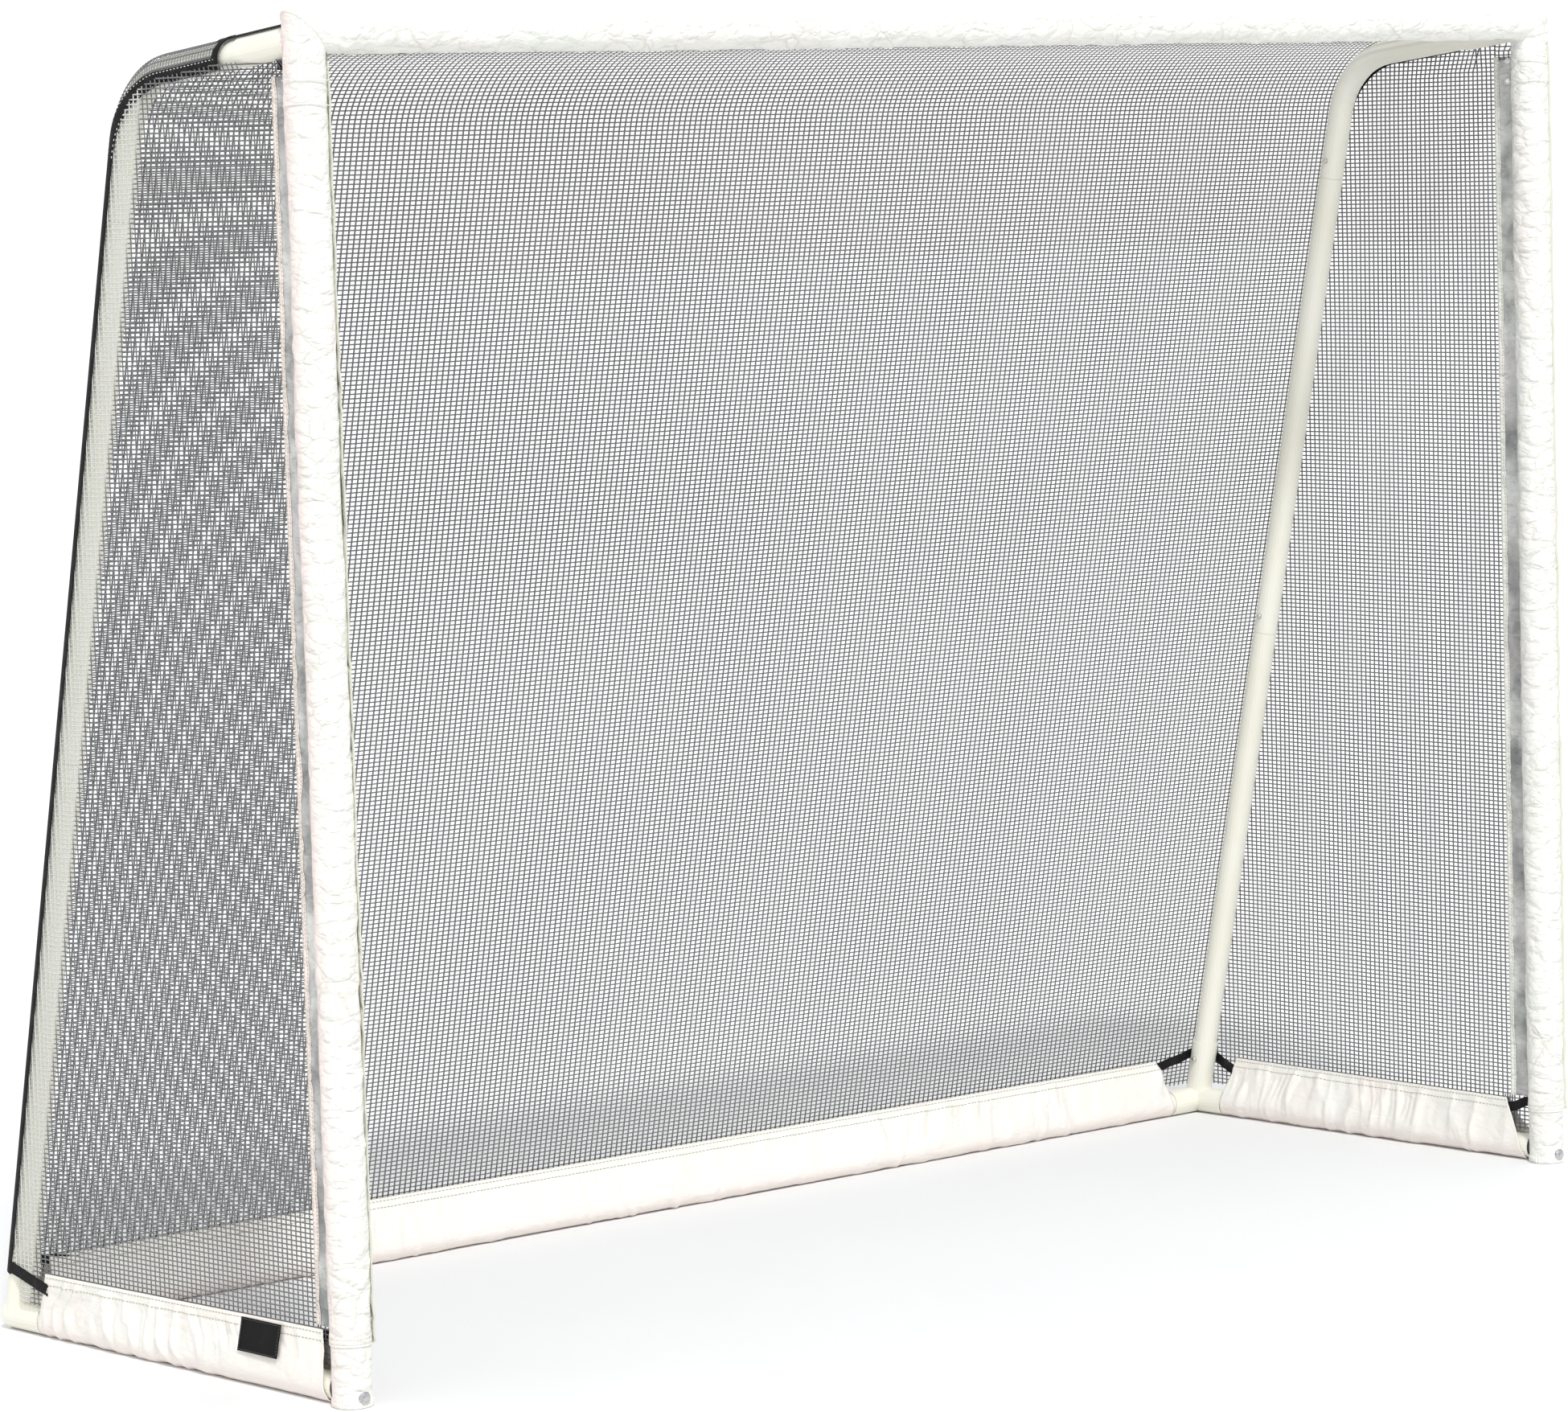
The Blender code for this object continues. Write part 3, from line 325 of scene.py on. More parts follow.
class Finish:
    """A material that is built up from procedural nodes."""

    def __init__(self, name, **shader_values):
        self.material = bpy.data.materials.new(name)
        self.material.use_nodes = True
        self.tree = self.material.node_tree
        self.shader = self.tree.nodes["Principled BSDF"]
        for socket, value in shader_values.items():
            self.shader.inputs[socket.replace("_", " ").title()].default_value = value
        self.place = self.node("ShaderNodeTexCoord").outputs["Object"]
        self.bump = None

    def node(self, kind, settings=None, **inputs):
        made = self.tree.nodes.new(kind)
        for key, value in (settings or {}).items():
            setattr(made, key, value)
        for key, value in inputs.items():
            feed(self.tree, made.inputs[key.replace("_", " ")], value)
        return made

    def stretched(self, scale, turn=(0.0, 0.0, 0.0), place=None):
        """Coordinates scaled differently along each axis."""
        mapping = self.node("ShaderNodeMapping", Vector=place or self.place, Scale=scale,
                            Rotation=turn)
        return mapping.outputs["Vector"]

    def cloth_place(self):
        """Place on the flat fabric, in metres."""
        return self.node("ShaderNodeAttribute", {"attribute_name": "cloth"}).outputs["Vector"]

    def noise(self, scale, detail=3.0, place=None, roughness=0.55, distortion=0.0):
        return self.node("ShaderNodeTexNoise", Vector=place or self.place, Scale=scale,
                         Detail=detail, Roughness=roughness,
                         Distortion=distortion).outputs["Fac"]

    def facets(self, scale, place=None, width=0.22):
        """1 inside the facets of crumpled cloth, 0 on the creases between them."""
        edges = self.node("ShaderNodeTexVoronoi", {"feature": "DISTANCE_TO_EDGE"},
                          Vector=place or self.place, Scale=scale)
        return self.ramp(edges.outputs["Distance"], 0.0, width)

    def bands(self, scale, direction, place=None, distortion=0.0):
        return self.node("ShaderNodeTexWave", {"bands_direction": direction},
                         Vector=place or self.place, Scale=scale,
                         Distortion=distortion, Detail=1.0).outputs["Fac"]

    def ramp(self, factor, low_at, high_at, low_value=0.0, high_value=1.0):
        return self.node("ShaderNodeMapRange", Value=factor, From_Min=low_at, From_Max=high_at,
                         To_Min=low_value, To_Max=high_value).outputs["Result"]

    def maths(self, operation, first, second):
        made = self.node("ShaderNodeMath", {"operation": operation})
        feed(self.tree, made.inputs[0], first)
        feed(self.tree, made.inputs[1], second)
        return made.outputs[0]

    def vector(self, operation, first, second=None, **inputs):
        made = self.node("ShaderNodeVectorMath", {"operation": operation}, **inputs)
        feed(self.tree, made.inputs[0], first)
        if second is not None:
            feed(self.tree, made.inputs[1], second)
        return made.outputs["Value" if operation == "DOT_PRODUCT" else "Vector"]

    def mix(self, factor, first, second):
        """Mix of two colours, each given as a colour or as a node's output."""
        made = self.node("ShaderNodeMix", {"data_type": "RGBA"})
        for number, value in zip(MIX_INPUTS, (factor, first, second)):
            feed(self.tree, made.inputs[number], value)
        return made.outputs[2]

    def colour(self, output):
        feed(self.tree, self.shader.inputs["Base Color"], output)

    def rough(self, factor, low, high):
        feed(self.tree, self.shader.inputs["Roughness"],
             self.ramp(factor, 0.3, 0.7, low, high))

    def relief(self, height, depth):
        """Adds a bump whose height is depth metres."""
        made = self.node("ShaderNodeBump", Height=height, Distance=depth, Strength=1.0)
        if self.bump is not None:
            feed(self.tree, made.inputs["Normal"], self.bump)
        self.bump = made.outputs["Normal"]
        feed(self.tree, self.shader.inputs["Normal"], self.bump)


def powder_coat():
    """Cream-white powder coat: fine orange peel, faint scuffs and handling marks."""
    finish = Finish("white_powder_coat", coat_weight=0.12, coat_roughness=0.25)
    broad = finish.noise(5.0, 4.0)
    tone = finish.mix(finish.ramp(broad, 0.35, 0.65), (0.83, 0.81, 0.695), (0.87, 0.86, 0.77))
    marks = finish.noise(38.0, 6.0, finish.stretched((1.0, 1.0, 0.25)), 0.7)
    scuffs = finish.ramp(marks, 0.64, 0.74)
    finish.colour(finish.mix(finish.maths("MULTIPLY", scuffs, 0.25), tone, (0.55, 0.53, 0.48)))
    finish.rough(finish.noise(60.0, 3.0), 0.30, 0.46)
    finish.relief(finish.noise(420.0, 2.0), 0.00012)
    finish.relief(finish.noise(26.0, 2.0), 0.0003)
    return finish.material


def cloth(name, pale, deep, blush, crumple=1.0, patch=3.5, painted_low_shade=False,
          painted_edge_shade=False):
    """Coated white fabric: fine weave, crumpled facets with painted shade along their creases,
    and a faint warm tint in patches.
    """
    finish = Finish(name, sheen_weight=0.05, sheen_roughness=0.5)
    flat = finish.cloth_place()
    broad = finish.noise(patch, 4.0)
    patches = finish.noise(11.0, 3.0, finish.stretched((1.0, 1.0, 0.6)))
    tone = finish.mix(finish.ramp(broad, 0.35, 0.62), pale, deep)
    tone = finish.mix(finish.ramp(patches, 0.48, 0.72, 0.0, 0.65), tone, blush)
    # Painted shade: the cloth turns pinkish towards the bottom
    if painted_low_shade:
        height = finish.node("ShaderNodeSeparateXYZ", Vector=finish.place).outputs["Z"]
        tone = finish.mix(finish.ramp(height, 0.034, 0.004, 0.0, 0.85), tone, blush)
    if painted_edge_shade:  # painted shade: the outboard back of the left post's sleeve is tinted warm
        outboard = finish.vector("DOT_PRODUCT", finish.place, (-0.75, 0.66, 0.0))
        axis = 0.75 * POST_X + 0.66 * POST_Y
        edge = finish.ramp(outboard, axis + 0.008, axis + 0.026, 0.0, 0.9)
        tone = finish.mix(edge, tone, (0.88, 0.76, 0.72))
    # Facets between creases, on coordinates that wander so that no crease is straight; the crease
    # lines get painted shade
    swirl = finish.node("ShaderNodeTexNoise", Vector=finish.place, Scale=22.0, Detail=2.0)
    shift = finish.vector("SCALE", swirl.outputs["Color"], Scale=0.028)
    warped = finish.vector("ADD", finish.stretched((1.0, 1.0, 1.9)), shift)
    some = finish.ramp(finish.noise(9.0, 2.0), 0.44, 0.58)
    lines = finish.ramp(finish.facets(20.0, warped, 0.045), 1.0, 0.0)
    # Painted shade: the crease lines are darkened towards grey-green
    tone = finish.mix(finish.maths("MULTIPLY", finish.maths("MULTIPLY", lines, some),
                                   0.45 * crumple ** 2), tone, (0.58, 0.57, 0.50))
    across = finish.bands(WEAVE, "X", flat)
    along = finish.bands(WEAVE, "Y", flat)
    threads = finish.maths("MULTIPLY", across, along)
    finish.colour(finish.mix(finish.maths("MULTIPLY", threads, 0.08), tone,
                             (0.62, 0.61, 0.57)))
    finish.rough(patches, 0.50, 0.68)
    finish.relief(threads, 0.00010)
    finish.relief(finish.facets(20.0, warped), 0.0018 * crumple)
    finish.relief(finish.facets(52.0, warped), 0.0006 * crumple)
    finish.relief(finish.noise(30.0, 4.0, roughness=0.5), 0.0030 * crumple)
    return finish.material


def net_cord(name, painted_light_on_leg=False):
    """Dark grey polyester braid; on one side the cords drawn over the leg are paler with painted
    light.
    """
    finish = Finish(name, sheen_weight=0.1)
    fuzz = finish.noise(900.0, 2.0)
    tone = finish.mix(finish.ramp(finish.noise(2.2, 3.0), 0.35, 0.65), (0.105, 0.107, 0.112),
                      (0.150, 0.152, 0.156))
    tone = finish.mix(finish.maths("MULTIPLY", fuzz, 0.5), tone, (0.24, 0.24, 0.245))
    if painted_light_on_leg:
        leaning = finish.vector("DOT_PRODUCT", finish.place,
                                (0.0, math.cos(LEAN), math.sin(LEAN)))
        axis = BACK_Y * math.cos(LEAN) + BASE_Z * math.sin(LEAN)
        # Painted light: the cords over the leg are made paler
        on_leg = finish.ramp(leaning, axis - 0.055, axis - 0.048)
        tone = finish.mix(on_leg, tone, (0.62, 0.63, 0.60))
    finish.colour(tone)
    finish.rough(fuzz, 0.62, 0.80)
    finish.relief(finish.noise(1500.0, 1.0), 0.00012)
    return finish.material


def webbing(name, tone=(0.006, 0.0058, 0.0065), highlight=(0.022, 0.020, 0.022), worn=1.0):
    """Woven polypropylene tape with ribs across it."""
    finish = Finish(name, sheen_weight=0.0)
    finish.shader.inputs["Specular IOR Level"].default_value = 0.15
    flat = finish.cloth_place()
    ribs = finish.bands(180.0, "X", flat, distortion=0.4)
    twill = finish.bands(260.0, "DIAGONAL", flat)
    weave = finish.maths("MULTIPLY", ribs, twill)
    wear = finish.ramp(finish.noise(45.0, 4.0), 0.5, 0.75)
    base = finish.mix(weave, tone, highlight)
    finish.colour(finish.mix(finish.maths("MULTIPLY", wear, 0.25 * worn), base,
                             (0.08, 0.075, 0.075)))
    finish.rough(weave, 0.62, 0.85)
    finish.relief(weave, 0.0003)
    return finish.material


def metal(name, tone, worn, roughness):
    """Bare or plated metal with fine scratches."""
    finish = Finish(name, metallic=1.0)
    marks = finish.noise(160.0, 4.0, finish.stretched((1.0, 4.0, 1.0), (0.4, 0.2, 0.7)))
    finish.colour(finish.mix(finish.ramp(marks, 0.45, 0.75), tone, worn))
    finish.rough(marks, roughness, roughness + 0.16)
    finish.relief(marks, 0.00006)
    return finish.material


def plastic(name, tone, shade, roughness):
    """Moulded plastic with a fine grain."""
    finish = Finish(name)
    finish.colour(finish.mix(finish.ramp(finish.noise(30.0, 3.0), 0.35, 0.65), tone, shade))
    finish.rough(finish.noise(90.0, 3.0), roughness, roughness + 0.14)
    finish.relief(finish.noise(700.0, 2.0), 0.00010)
    return finish.material


def sewing_thread(name, tone, shade):
    finish = Finish(name, sheen_weight=0.2)
    ply = finish.bands(500.0, "DIAGONAL")
    finish.colour(finish.mix(ply, tone, shade))
    finish.rough(ply, 0.55, 0.75)
    finish.relief(ply, 0.0001)
    return finish.material


def studio_floor():
    """Plain pale floor with a trace of texture."""
    finish = Finish("studio_floor")
    finish.colour(finish.mix(finish.noise(0.8, 3.0), (0.835, 0.835, 0.835), (0.85, 0.85, 0.85)))
    finish.rough(finish.noise(3.0, 3.0), 0.70, 0.85)
    finish.relief(finish.noise(60.0, 3.0), 0.0003)
    return finish.material


TUBE = powder_coat()
SLEEVE = cloth("sleeve_fabric", (0.86, 0.86, 0.82), (0.82, 0.83, 0.77), (0.86, 0.80, 0.765),
               1.1, painted_edge_shade=True)
SKIRT = cloth("skirt_fabric", (0.87, 0.86, 0.82), (0.85, 0.825, 0.77), (0.88, 0.79, 0.745),
              0.3, painted_low_shade=True)
# The hem strip is white cloth; its grey tone and dark patches are painted shade
HEM = cloth("hem_fabric_painted_shade", (0.74, 0.75, 0.72), (0.24, 0.25, 0.25), (0.72, 0.68, 0.68), 1.2,
            patch=13.0)
NET = net_cord("net_cord")
NET_PAINTED_LIGHT = net_cord("net_cord_painted_light", painted_light_on_leg=True)
WEBBING = webbing("black_webbing")
LABEL = webbing("woven_label", (0.004, 0.004, 0.0045), (0.014, 0.014, 0.015), 0.25)
CHROME = metal("bright_chrome", (0.60, 0.60, 0.62), (0.36, 0.36, 0.37), 0.10)
STEEL = metal("spring_steel", (0.80, 0.79, 0.75), (0.62, 0.61, 0.57), 0.30)
WHITE_PLASTIC = plastic("white_plastic", (0.82, 0.82, 0.80), (0.76, 0.76, 0.73), 0.34)
GREY_PLASTIC = plastic("grey_plastic", (0.15, 0.15, 0.16), (0.11, 0.11, 0.115), 0.45)
PALE_THREAD = sewing_thread("pale_thread", (0.55, 0.56, 0.43), (0.38, 0.39, 0.29))
# The piping's greenish grey tone is painted shade along the sleeves' seam edge
PIPING = sewing_thread("seam_piping", (0.74, 0.75, 0.64), (0.55, 0.56, 0.46))
WHITE_THREAD = sewing_thread("white_thread", (0.85, 0.85, 0.82), (0.66, 0.66, 0.63))
DARK_THREAD = sewing_thread("dark_thread", (0.09, 0.09, 0.085), (0.04, 0.04, 0.04))

NODE_FINISHES = {
    "white_tube": TUBE, "white_sleeve": SLEEVE, "white_skirt": SKIRT, "dark_net": NET,
    "black_webbing": WEBBING, "bright_chrome": CHROME, "spring_steel": STEEL,
    "white_plastic": WHITE_PLASTIC, "grey_plastic": GREY_PLASTIC, "black_label": LABEL,
}


def finish_cad_nodes():
    """Each CAD node that stays gets the detailed material of its slot."""
    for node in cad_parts.values():
        for number, material in enumerate(node.data.materials):
            for finish, better in NODE_FINISHES.items():
                if finish in material.name:
                    node.data.materials[number] = better


# ---- camera, light and floor ---------------------------------------------------------------

CAMERA_AT = (-5.7472, -6.4463, 1.6293)
CAMERA_YAW = math.radians(41.421)  # clockwise from +Y, seen from above
CAMERA_PITCH = math.radians(-5.425)
CAMERA_ROLL = math.radians(-1.638)
LENS_MM = 133.57
SUN_ENERGY = 1.9
SUN_ANGLE = math.radians(7)
SUN_TOWARDS = (0.42, 0.80, -1.05)
FILL_STRENGTH = 0.92  # surround, as it lights the goal
BACKDROP_STRENGTH = 1.05  # and as the camera sees it
FLOOR_HALF = 60.0


def make_camera():
    data = bpy.data.cameras.new("camera")
    data.sensor_width = 36.0
    data.lens = LENS_MM
    data.clip_end = 200.0
    camera = new_object("camera", data)
    forward = Vector((math.cos(CAMERA_PITCH) * math.sin(CAMERA_YAW),
                      math.cos(CAMERA_PITCH) * math.cos(CAMERA_YAW), math.sin(CAMERA_PITCH)))
    right = Vector((math.cos(CAMERA_YAW), -math.sin(CAMERA_YAW), 0.0))
    up = right.cross(forward)
    x_axis = right * math.cos(CAMERA_ROLL) + up * math.sin(CAMERA_ROLL)
    y_axis = up * math.cos(CAMERA_ROLL) - right * math.sin(CAMERA_ROLL)
    turn = Matrix((x_axis, y_axis, -forward)).transposed().to_4x4()
    camera.matrix_world = Matrix.Translation(CAMERA_AT) @ turn
    bpy.context.scene.camera = camera


def make_studio():
    """A pale floor, a soft sun from the front left and an even white surround."""
    scene = bpy.context.scene
    scene.view_settings.view_transform = "Standard"
    corners = FLOOR_HALF * np.array([(-1, -1, 0), (1, -1, 0), (1, 1, 0), (-1, 1, 0)])
    mesh = make_mesh("studio_floor", corners, np.array([[0, 1, 2, 3]]))
    mesh.materials.append(studio_floor())
    floor = new_object("studio_floor", mesh)

    key = bpy.data.lights.new("key_light", "SUN")
    key.energy = SUN_ENERGY
    key.angle = SUN_ANGLE
    lamp = new_object("key_light", key)
    lamp.rotation_euler = Vector(SUN_TOWARDS).to_track_quat("-Z", "Y").to_euler()

    world = bpy.data.worlds.new("studio_surround")
    scene.world = world
    world.use_nodes = True
    nodes, links = world.node_tree.nodes, world.node_tree.links
    fill, backdrop = nodes["Background"], nodes.new("ShaderNodeBackground")
    for shader, colour, strength in ((fill, (0.98, 0.99, 1.0), FILL_STRENGTH),
                                     (backdrop, (1.0, 1.0, 1.0), BACKDROP_STRENGTH)):
        feed(world.node_tree, shader.inputs["Color"], colour)
        feed(world.node_tree, shader.inputs["Strength"], strength)
    mixed = nodes.new("ShaderNodeMixShader")
    path = nodes.new("ShaderNodeLightPath")
    links.new(path.outputs["Is Camera Ray"], mixed.inputs["Fac"])
    links.new(fill.outputs[0], mixed.inputs[1])
    links.new(backdrop.outputs[0], mixed.inputs[2])
    links.new(mixed.outputs[0], nodes["World Output"].inputs["Surface"])


# ---- the rear tube's line ------------------------------------------------------------------

NET_R = 0.0223  # the nets lie this far outside the axis of a rear tube
LEG_SEAM = math.radians(74)  # the nets' seam, round the tube from behind towards outboard
TOP_SEAM = math.radians(118)
FRONT_EDGE = math.radians(24)  # edge of the top net where the top tube is bare

LEG_Y_AT_STRAP = BACK_Y - (REAR_STRAP_Z - BASE_Z) * math.tan(LEAN)
TURN = math.pi / 2 - TOP_FALL - LEAN
LEG_UP = np.array((-math.sin(LEAN), math.cos(LEAN)))
TOP_FORWARD = np.array((-math.cos(TOP_FALL), math.sin(TOP_FALL)))
TOP_OUT = np.array((math.sin(TOP_FALL), math.cos(TOP_FALL)))
corner_behind = ((BASE_DEPTH - (TOP_AXIS_Z - BASE_Z) * math.tan(LEAN))
                 / (1 - math.tan(TOP_FALL) * math.tan(LEAN)))
CORNER = np.array((POST_Y + corner_behind, TOP_AXIS_Z - corner_behind * math.tan(TOP_FALL)))
TANGENT = BEND_R * math.tan(TURN / 2)
BEND_CENTRE = CORNER + TOP_FORWARD * TANGENT - TOP_OUT * BEND_R
BEND_START = float(np.linalg.norm(CORNER - LEG_UP * TANGENT - (BACK_Y, BASE_Z)))
BEND_END = BEND_START + (BEND_R + NET_R) * TURN


def rear_line(along, offset):
    """(y, z) points and outward directions on a line beside the rear tube.

    along runs from the base tube up the leg, over the bend and forward to the crossbar, and is
    measured on the net; offset is outward from the tube's axis.
    """
    along, offset = np.broadcast_arrays(np.asarray(along, float), np.asarray(offset, float))
    angle = LEAN + np.clip((along - BEND_START) / (BEND_R + NET_R), 0, TURN)
    outward = spread(np.cos(angle), np.sin(angle))
    on_leg = np.minimum(along - BEND_START, 0)[..., None] * LEG_UP
    on_top = np.maximum(along - BEND_END, 0)[..., None] * TOP_FORWARD
    return BEND_CENTRE + (BEND_R + offset)[..., None] * outward + on_leg + on_top, outward


def along_at_height(z, offset):
    """Where a line beside the leg reaches a height."""
    return (z - BASE_Z - offset * math.sin(LEAN)) / math.cos(LEAN)


def along_at_behind(behind, offset):
    """Where a line over the top tube is a distance behind the post axis."""
    start = rear_line(BEND_END, offset)[0][0]
    return BEND_END + (start - POST_Y - behind) / math.cos(TOP_FALL)


def tube_distance(y, z):
    """How far outward from the rear tube's axis a place in the side plane is."""
    rel_y, rel_z = y - BEND_CENTRE[0], z - BEND_CENTRE[1]
    angle = np.clip(np.arctan2(rel_z, rel_y), LEAN, LEAN + TURN)
    return rel_y * np.cos(angle) + rel_z * np.sin(angle) - BEND_R


def lift(x, plane):
    """3-D points from x and (y, z)."""
    return np.concatenate((np.broadcast_to(x, plane.shape[:-1])[..., None], plane), axis=-1)


def round_tube(side, along, angle, radius):
    """Points and outward directions round a rear tube; angle 0 is behind it or above it."""
    along, angle = np.broadcast_arrays(np.asarray(along, float), np.asarray(angle, float))
    plane, outward = rear_line(along, radius * np.cos(angle))
    points = lift(side * (POST_X + radius * np.sin(angle)), plane)
    return points, lift(side * np.sin(angle), outward * np.cos(angle)[..., None])


def seam_angle(along):
    """The seam runs down the leg's corner and passes under the top tube in the bend."""
    return LEG_SEAM + (TOP_SEAM - LEG_SEAM) * fade(along, BEND_START - 0.03, BEND_END - 0.03)


SEAM_END = along_at_behind(SEAM_START, 0.0)
NET_START = along_at_height(NET_BOTTOM_Z, NET_R)
SEAM_ALONG = np.concatenate((np.linspace(NET_START, BEND_START, 40),
                             np.linspace(BEND_START, SEAM_END, 40)[1:]))
SEAM = rear_line(SEAM_ALONG, NET_R * np.cos(seam_angle(SEAM_ALONG)))[0]
UNDER_TOP_TUBE = 0.0185
SIDE_NET_EDGE = np.concatenate((
    SEAM, [(POST_Y + NET_FRONT,
            TOP_AXIS_Z - NET_FRONT * math.tan(TOP_FALL) - UNDER_TOP_TUBE)]))


def edge_y(z):
    """Place of the side net's edge at a height."""
    return np.interp(z, SIDE_NET_EDGE[:, 1], SIDE_NET_EDGE[:, 0])


def edge_z(y):
    """Height of the side net's edge at a place."""
    return np.interp(y, SIDE_NET_EDGE[::-1, 0], SIDE_NET_EDGE[::-1, 1])


def net_spread(y, z):
    """How far outside the post's plane the side net lies before it reaches the rear tube."""
    front = POST_Y + NET_FRONT
    return NET_R * np.clip((y - front) / (edge_y(z) - NET_KNEE - front), 0, 1)


# ---- nets ----------------------------------------------------------------------------------

def net_piece(name, place, families, node):
    """A net of woven cords. Each family is (u, v, half width, lift) with u and v in arrays."""
    parts = []
    for u, v, half_width, lift_by in families:
        points, outward = place(u, v)
        parts.append(sweep(points + outward * lift_by, outward,
                           diamond(half_width, STRAND_HALF_THICK)))
    # The left side net gets paler cords over the leg as painted light
    finish = NET_PAINTED_LIGHT if node == "net_side_left" else NET
    net = cord_piece(name, parts, finish, [node])


def wander(u, v, seed):
    """Small sideways unevenness of the cords."""
    return 0.00006 * noise(u / 0.037, v / 0.09, seed)


def slack(u, v, seed, size=0.0010):
    """Shallow waves of a net that is stretched by hand."""
    return size * (0.75 * noise(u / 0.62, v / 0.41, seed) + 0.25 * noise(u / 0.2, v / 0.2, seed))


def back_place(across, along):
    """The back and top nets are one surface, which turns round the tubes at both sides."""
    side, reach = np.sign(across), np.abs(across)
    angle = np.maximum(reach - POST_X, 0) / NET_R
    still = fade(POST_X - reach, 0.03, 0.20) * fade(np.abs(along - BEND_END + 0.10), 0, 0.30)
    plane, outward = rear_line(
        along, NET_R * np.cos(angle) + still * (slack(across, along, 3) + 0.0008))
    points = lift(side * (np.minimum(reach, POST_X) + NET_R * np.sin(angle)), plane)
    return points, lift(side * np.sin(angle), outward * np.cos(angle)[..., None])


def side_place(side):
    """The side net's surface as a function of y and z."""
    def place(y, z):
        behind = tube_distance(y, z)
        waves = slack(y, z, 20 + side, 0.0006) * fade(y, POST_Y + NET_FRONT,
                                                      POST_Y + NET_FRONT + 0.1)
        flat = net_spread(y, z) + waves * fade(-behind, 0.02, 0.10)
        turned = np.sqrt(np.maximum(NET_R ** 2 - behind ** 2, 0))
        points = spread(side * (POST_X + np.where(behind > 0, turned, flat)), y, z)
        outward = np.zeros_like(points)
        outward[..., 0] = side
        outward[..., 1] = np.clip(behind, 0, None) / NET_R
        return points, unit(outward)
    return place


def stations(start, end, step):
    """Even places, no further apart than a step."""
    return np.linspace(start, end, max(2, int(math.ceil((end - start) / step)) + 1))


TUCK = along_at_height(NET_TUCK_Z, NET_R)
TOP_END = along_at_behind(SLEEVE_R - 0.0015, NET_R)
TOP_REACH = POST_X + NET_R * TOP_SEAM
COLUMNS = COLUMN_PITCH * np.arange(-int(TOP_REACH / COLUMN_PITCH),
                                   int(TOP_REACH / COLUMN_PITCH) + 1)


def columns_between(across, start, end, samples):
    """Upright cords, each from its own start to its own end."""
    start, end = np.broadcast_to(start, across.shape), np.broadcast_to(end, across.shape)
    along = start[:, None] + (end - start)[:, None] * samples
    across = across[:, None] + wander(across[:, None], along, 11)
    return (across, along, *COLUMN_CORD)


def rows_at(along, angle):
    """Level cords, which turn round the tubes to an angle at both ends."""
    turned = NET_R * angle[:, None] * np.array((0.25, 0.5, 0.75, 1.0))
    middle = np.broadcast_to(stations(-POST_X, POST_X, 0.064), (len(along), 39))
    across = np.concatenate((-POST_X - turned[:, ::-1], middle, POST_X + turned), axis=1)
    along = along[:, None] + wander(along[:, None], across, 12)
    return (across, along, *ROW_CORD)


def net_back():
    """Back net, from the skirt over the bend; beside the skirt it reaches the base tube."""
    reach = np.abs(COLUMNS)
    on_leg = reach <= POST_X + NET_R * LEG_SEAM
    leg = stations(TUCK, BEND_START, 0.045)
    over_bend = stations(BEND_START, BEND_END, 0.013)[1:]
    samples = (np.concatenate((leg, over_bend)) - TUCK) / (BEND_END - TUCK)
    families = [columns_between(COLUMNS[on_leg], TUCK, BEND_END, samples)]
    outer = COLUMNS[~on_leg]
    span = np.linspace(BEND_START - 0.03, BEND_END, 60)
    begin = np.interp((np.abs(outer) - POST_X) / NET_R, seam_angle(span), span)
    families.append(columns_between(outer, begin, BEND_END + 0.002, np.linspace(0, 1, 9)))
    skirt_ends = np.where(COLUMNS < 0, SKIRT_BACK_END[-1], SKIRT_BACK_END[1])
    open_corner = (reach > POST_X - skirt_ends) & (reach < POST_X)
    families.append(columns_between(COLUMNS[open_corner], NET_START, TUCK,
                                    np.linspace(0, 1, 4)))
    rows = np.arange(TUCK + 0.002, BEND_END, ROW_PITCH)
    families.append(rows_at(rows, seam_angle(rows)))
    corner_rows = np.arange(TUCK + 0.002 - ROW_PITCH, NET_START, -ROW_PITCH)
    for side in SIDE_NAMES:
        corner = np.linspace(POST_X - SKIRT_BACK_END[side] + 0.003, POST_X, 4)
        across, along = np.broadcast_arrays(side * corner, corner_rows[:, None])
        families.append((across, along, *ROW_CORD))
    net_piece("net_back_woven", back_place, families,
              "net_back")


def net_top():
    """Top net; at both sides it turns down over the tube as far as the seam's end."""
    reach = np.abs(COLUMNS)
    end = np.where(reach <= POST_X + NET_R * FRONT_EDGE, TOP_END, SEAM_END)
    families = [columns_between(COLUMNS, BEND_END, end, np.linspace(0, 1, 7))]
    rows = np.arange(BEND_END + 0.002, TOP_END, ROW_PITCH)
    families.append(rows_at(rows, np.where(rows < SEAM_END, TOP_SEAM, FRONT_EDGE)))
    net_piece("net_top_woven", back_place, families,
              "net_top")


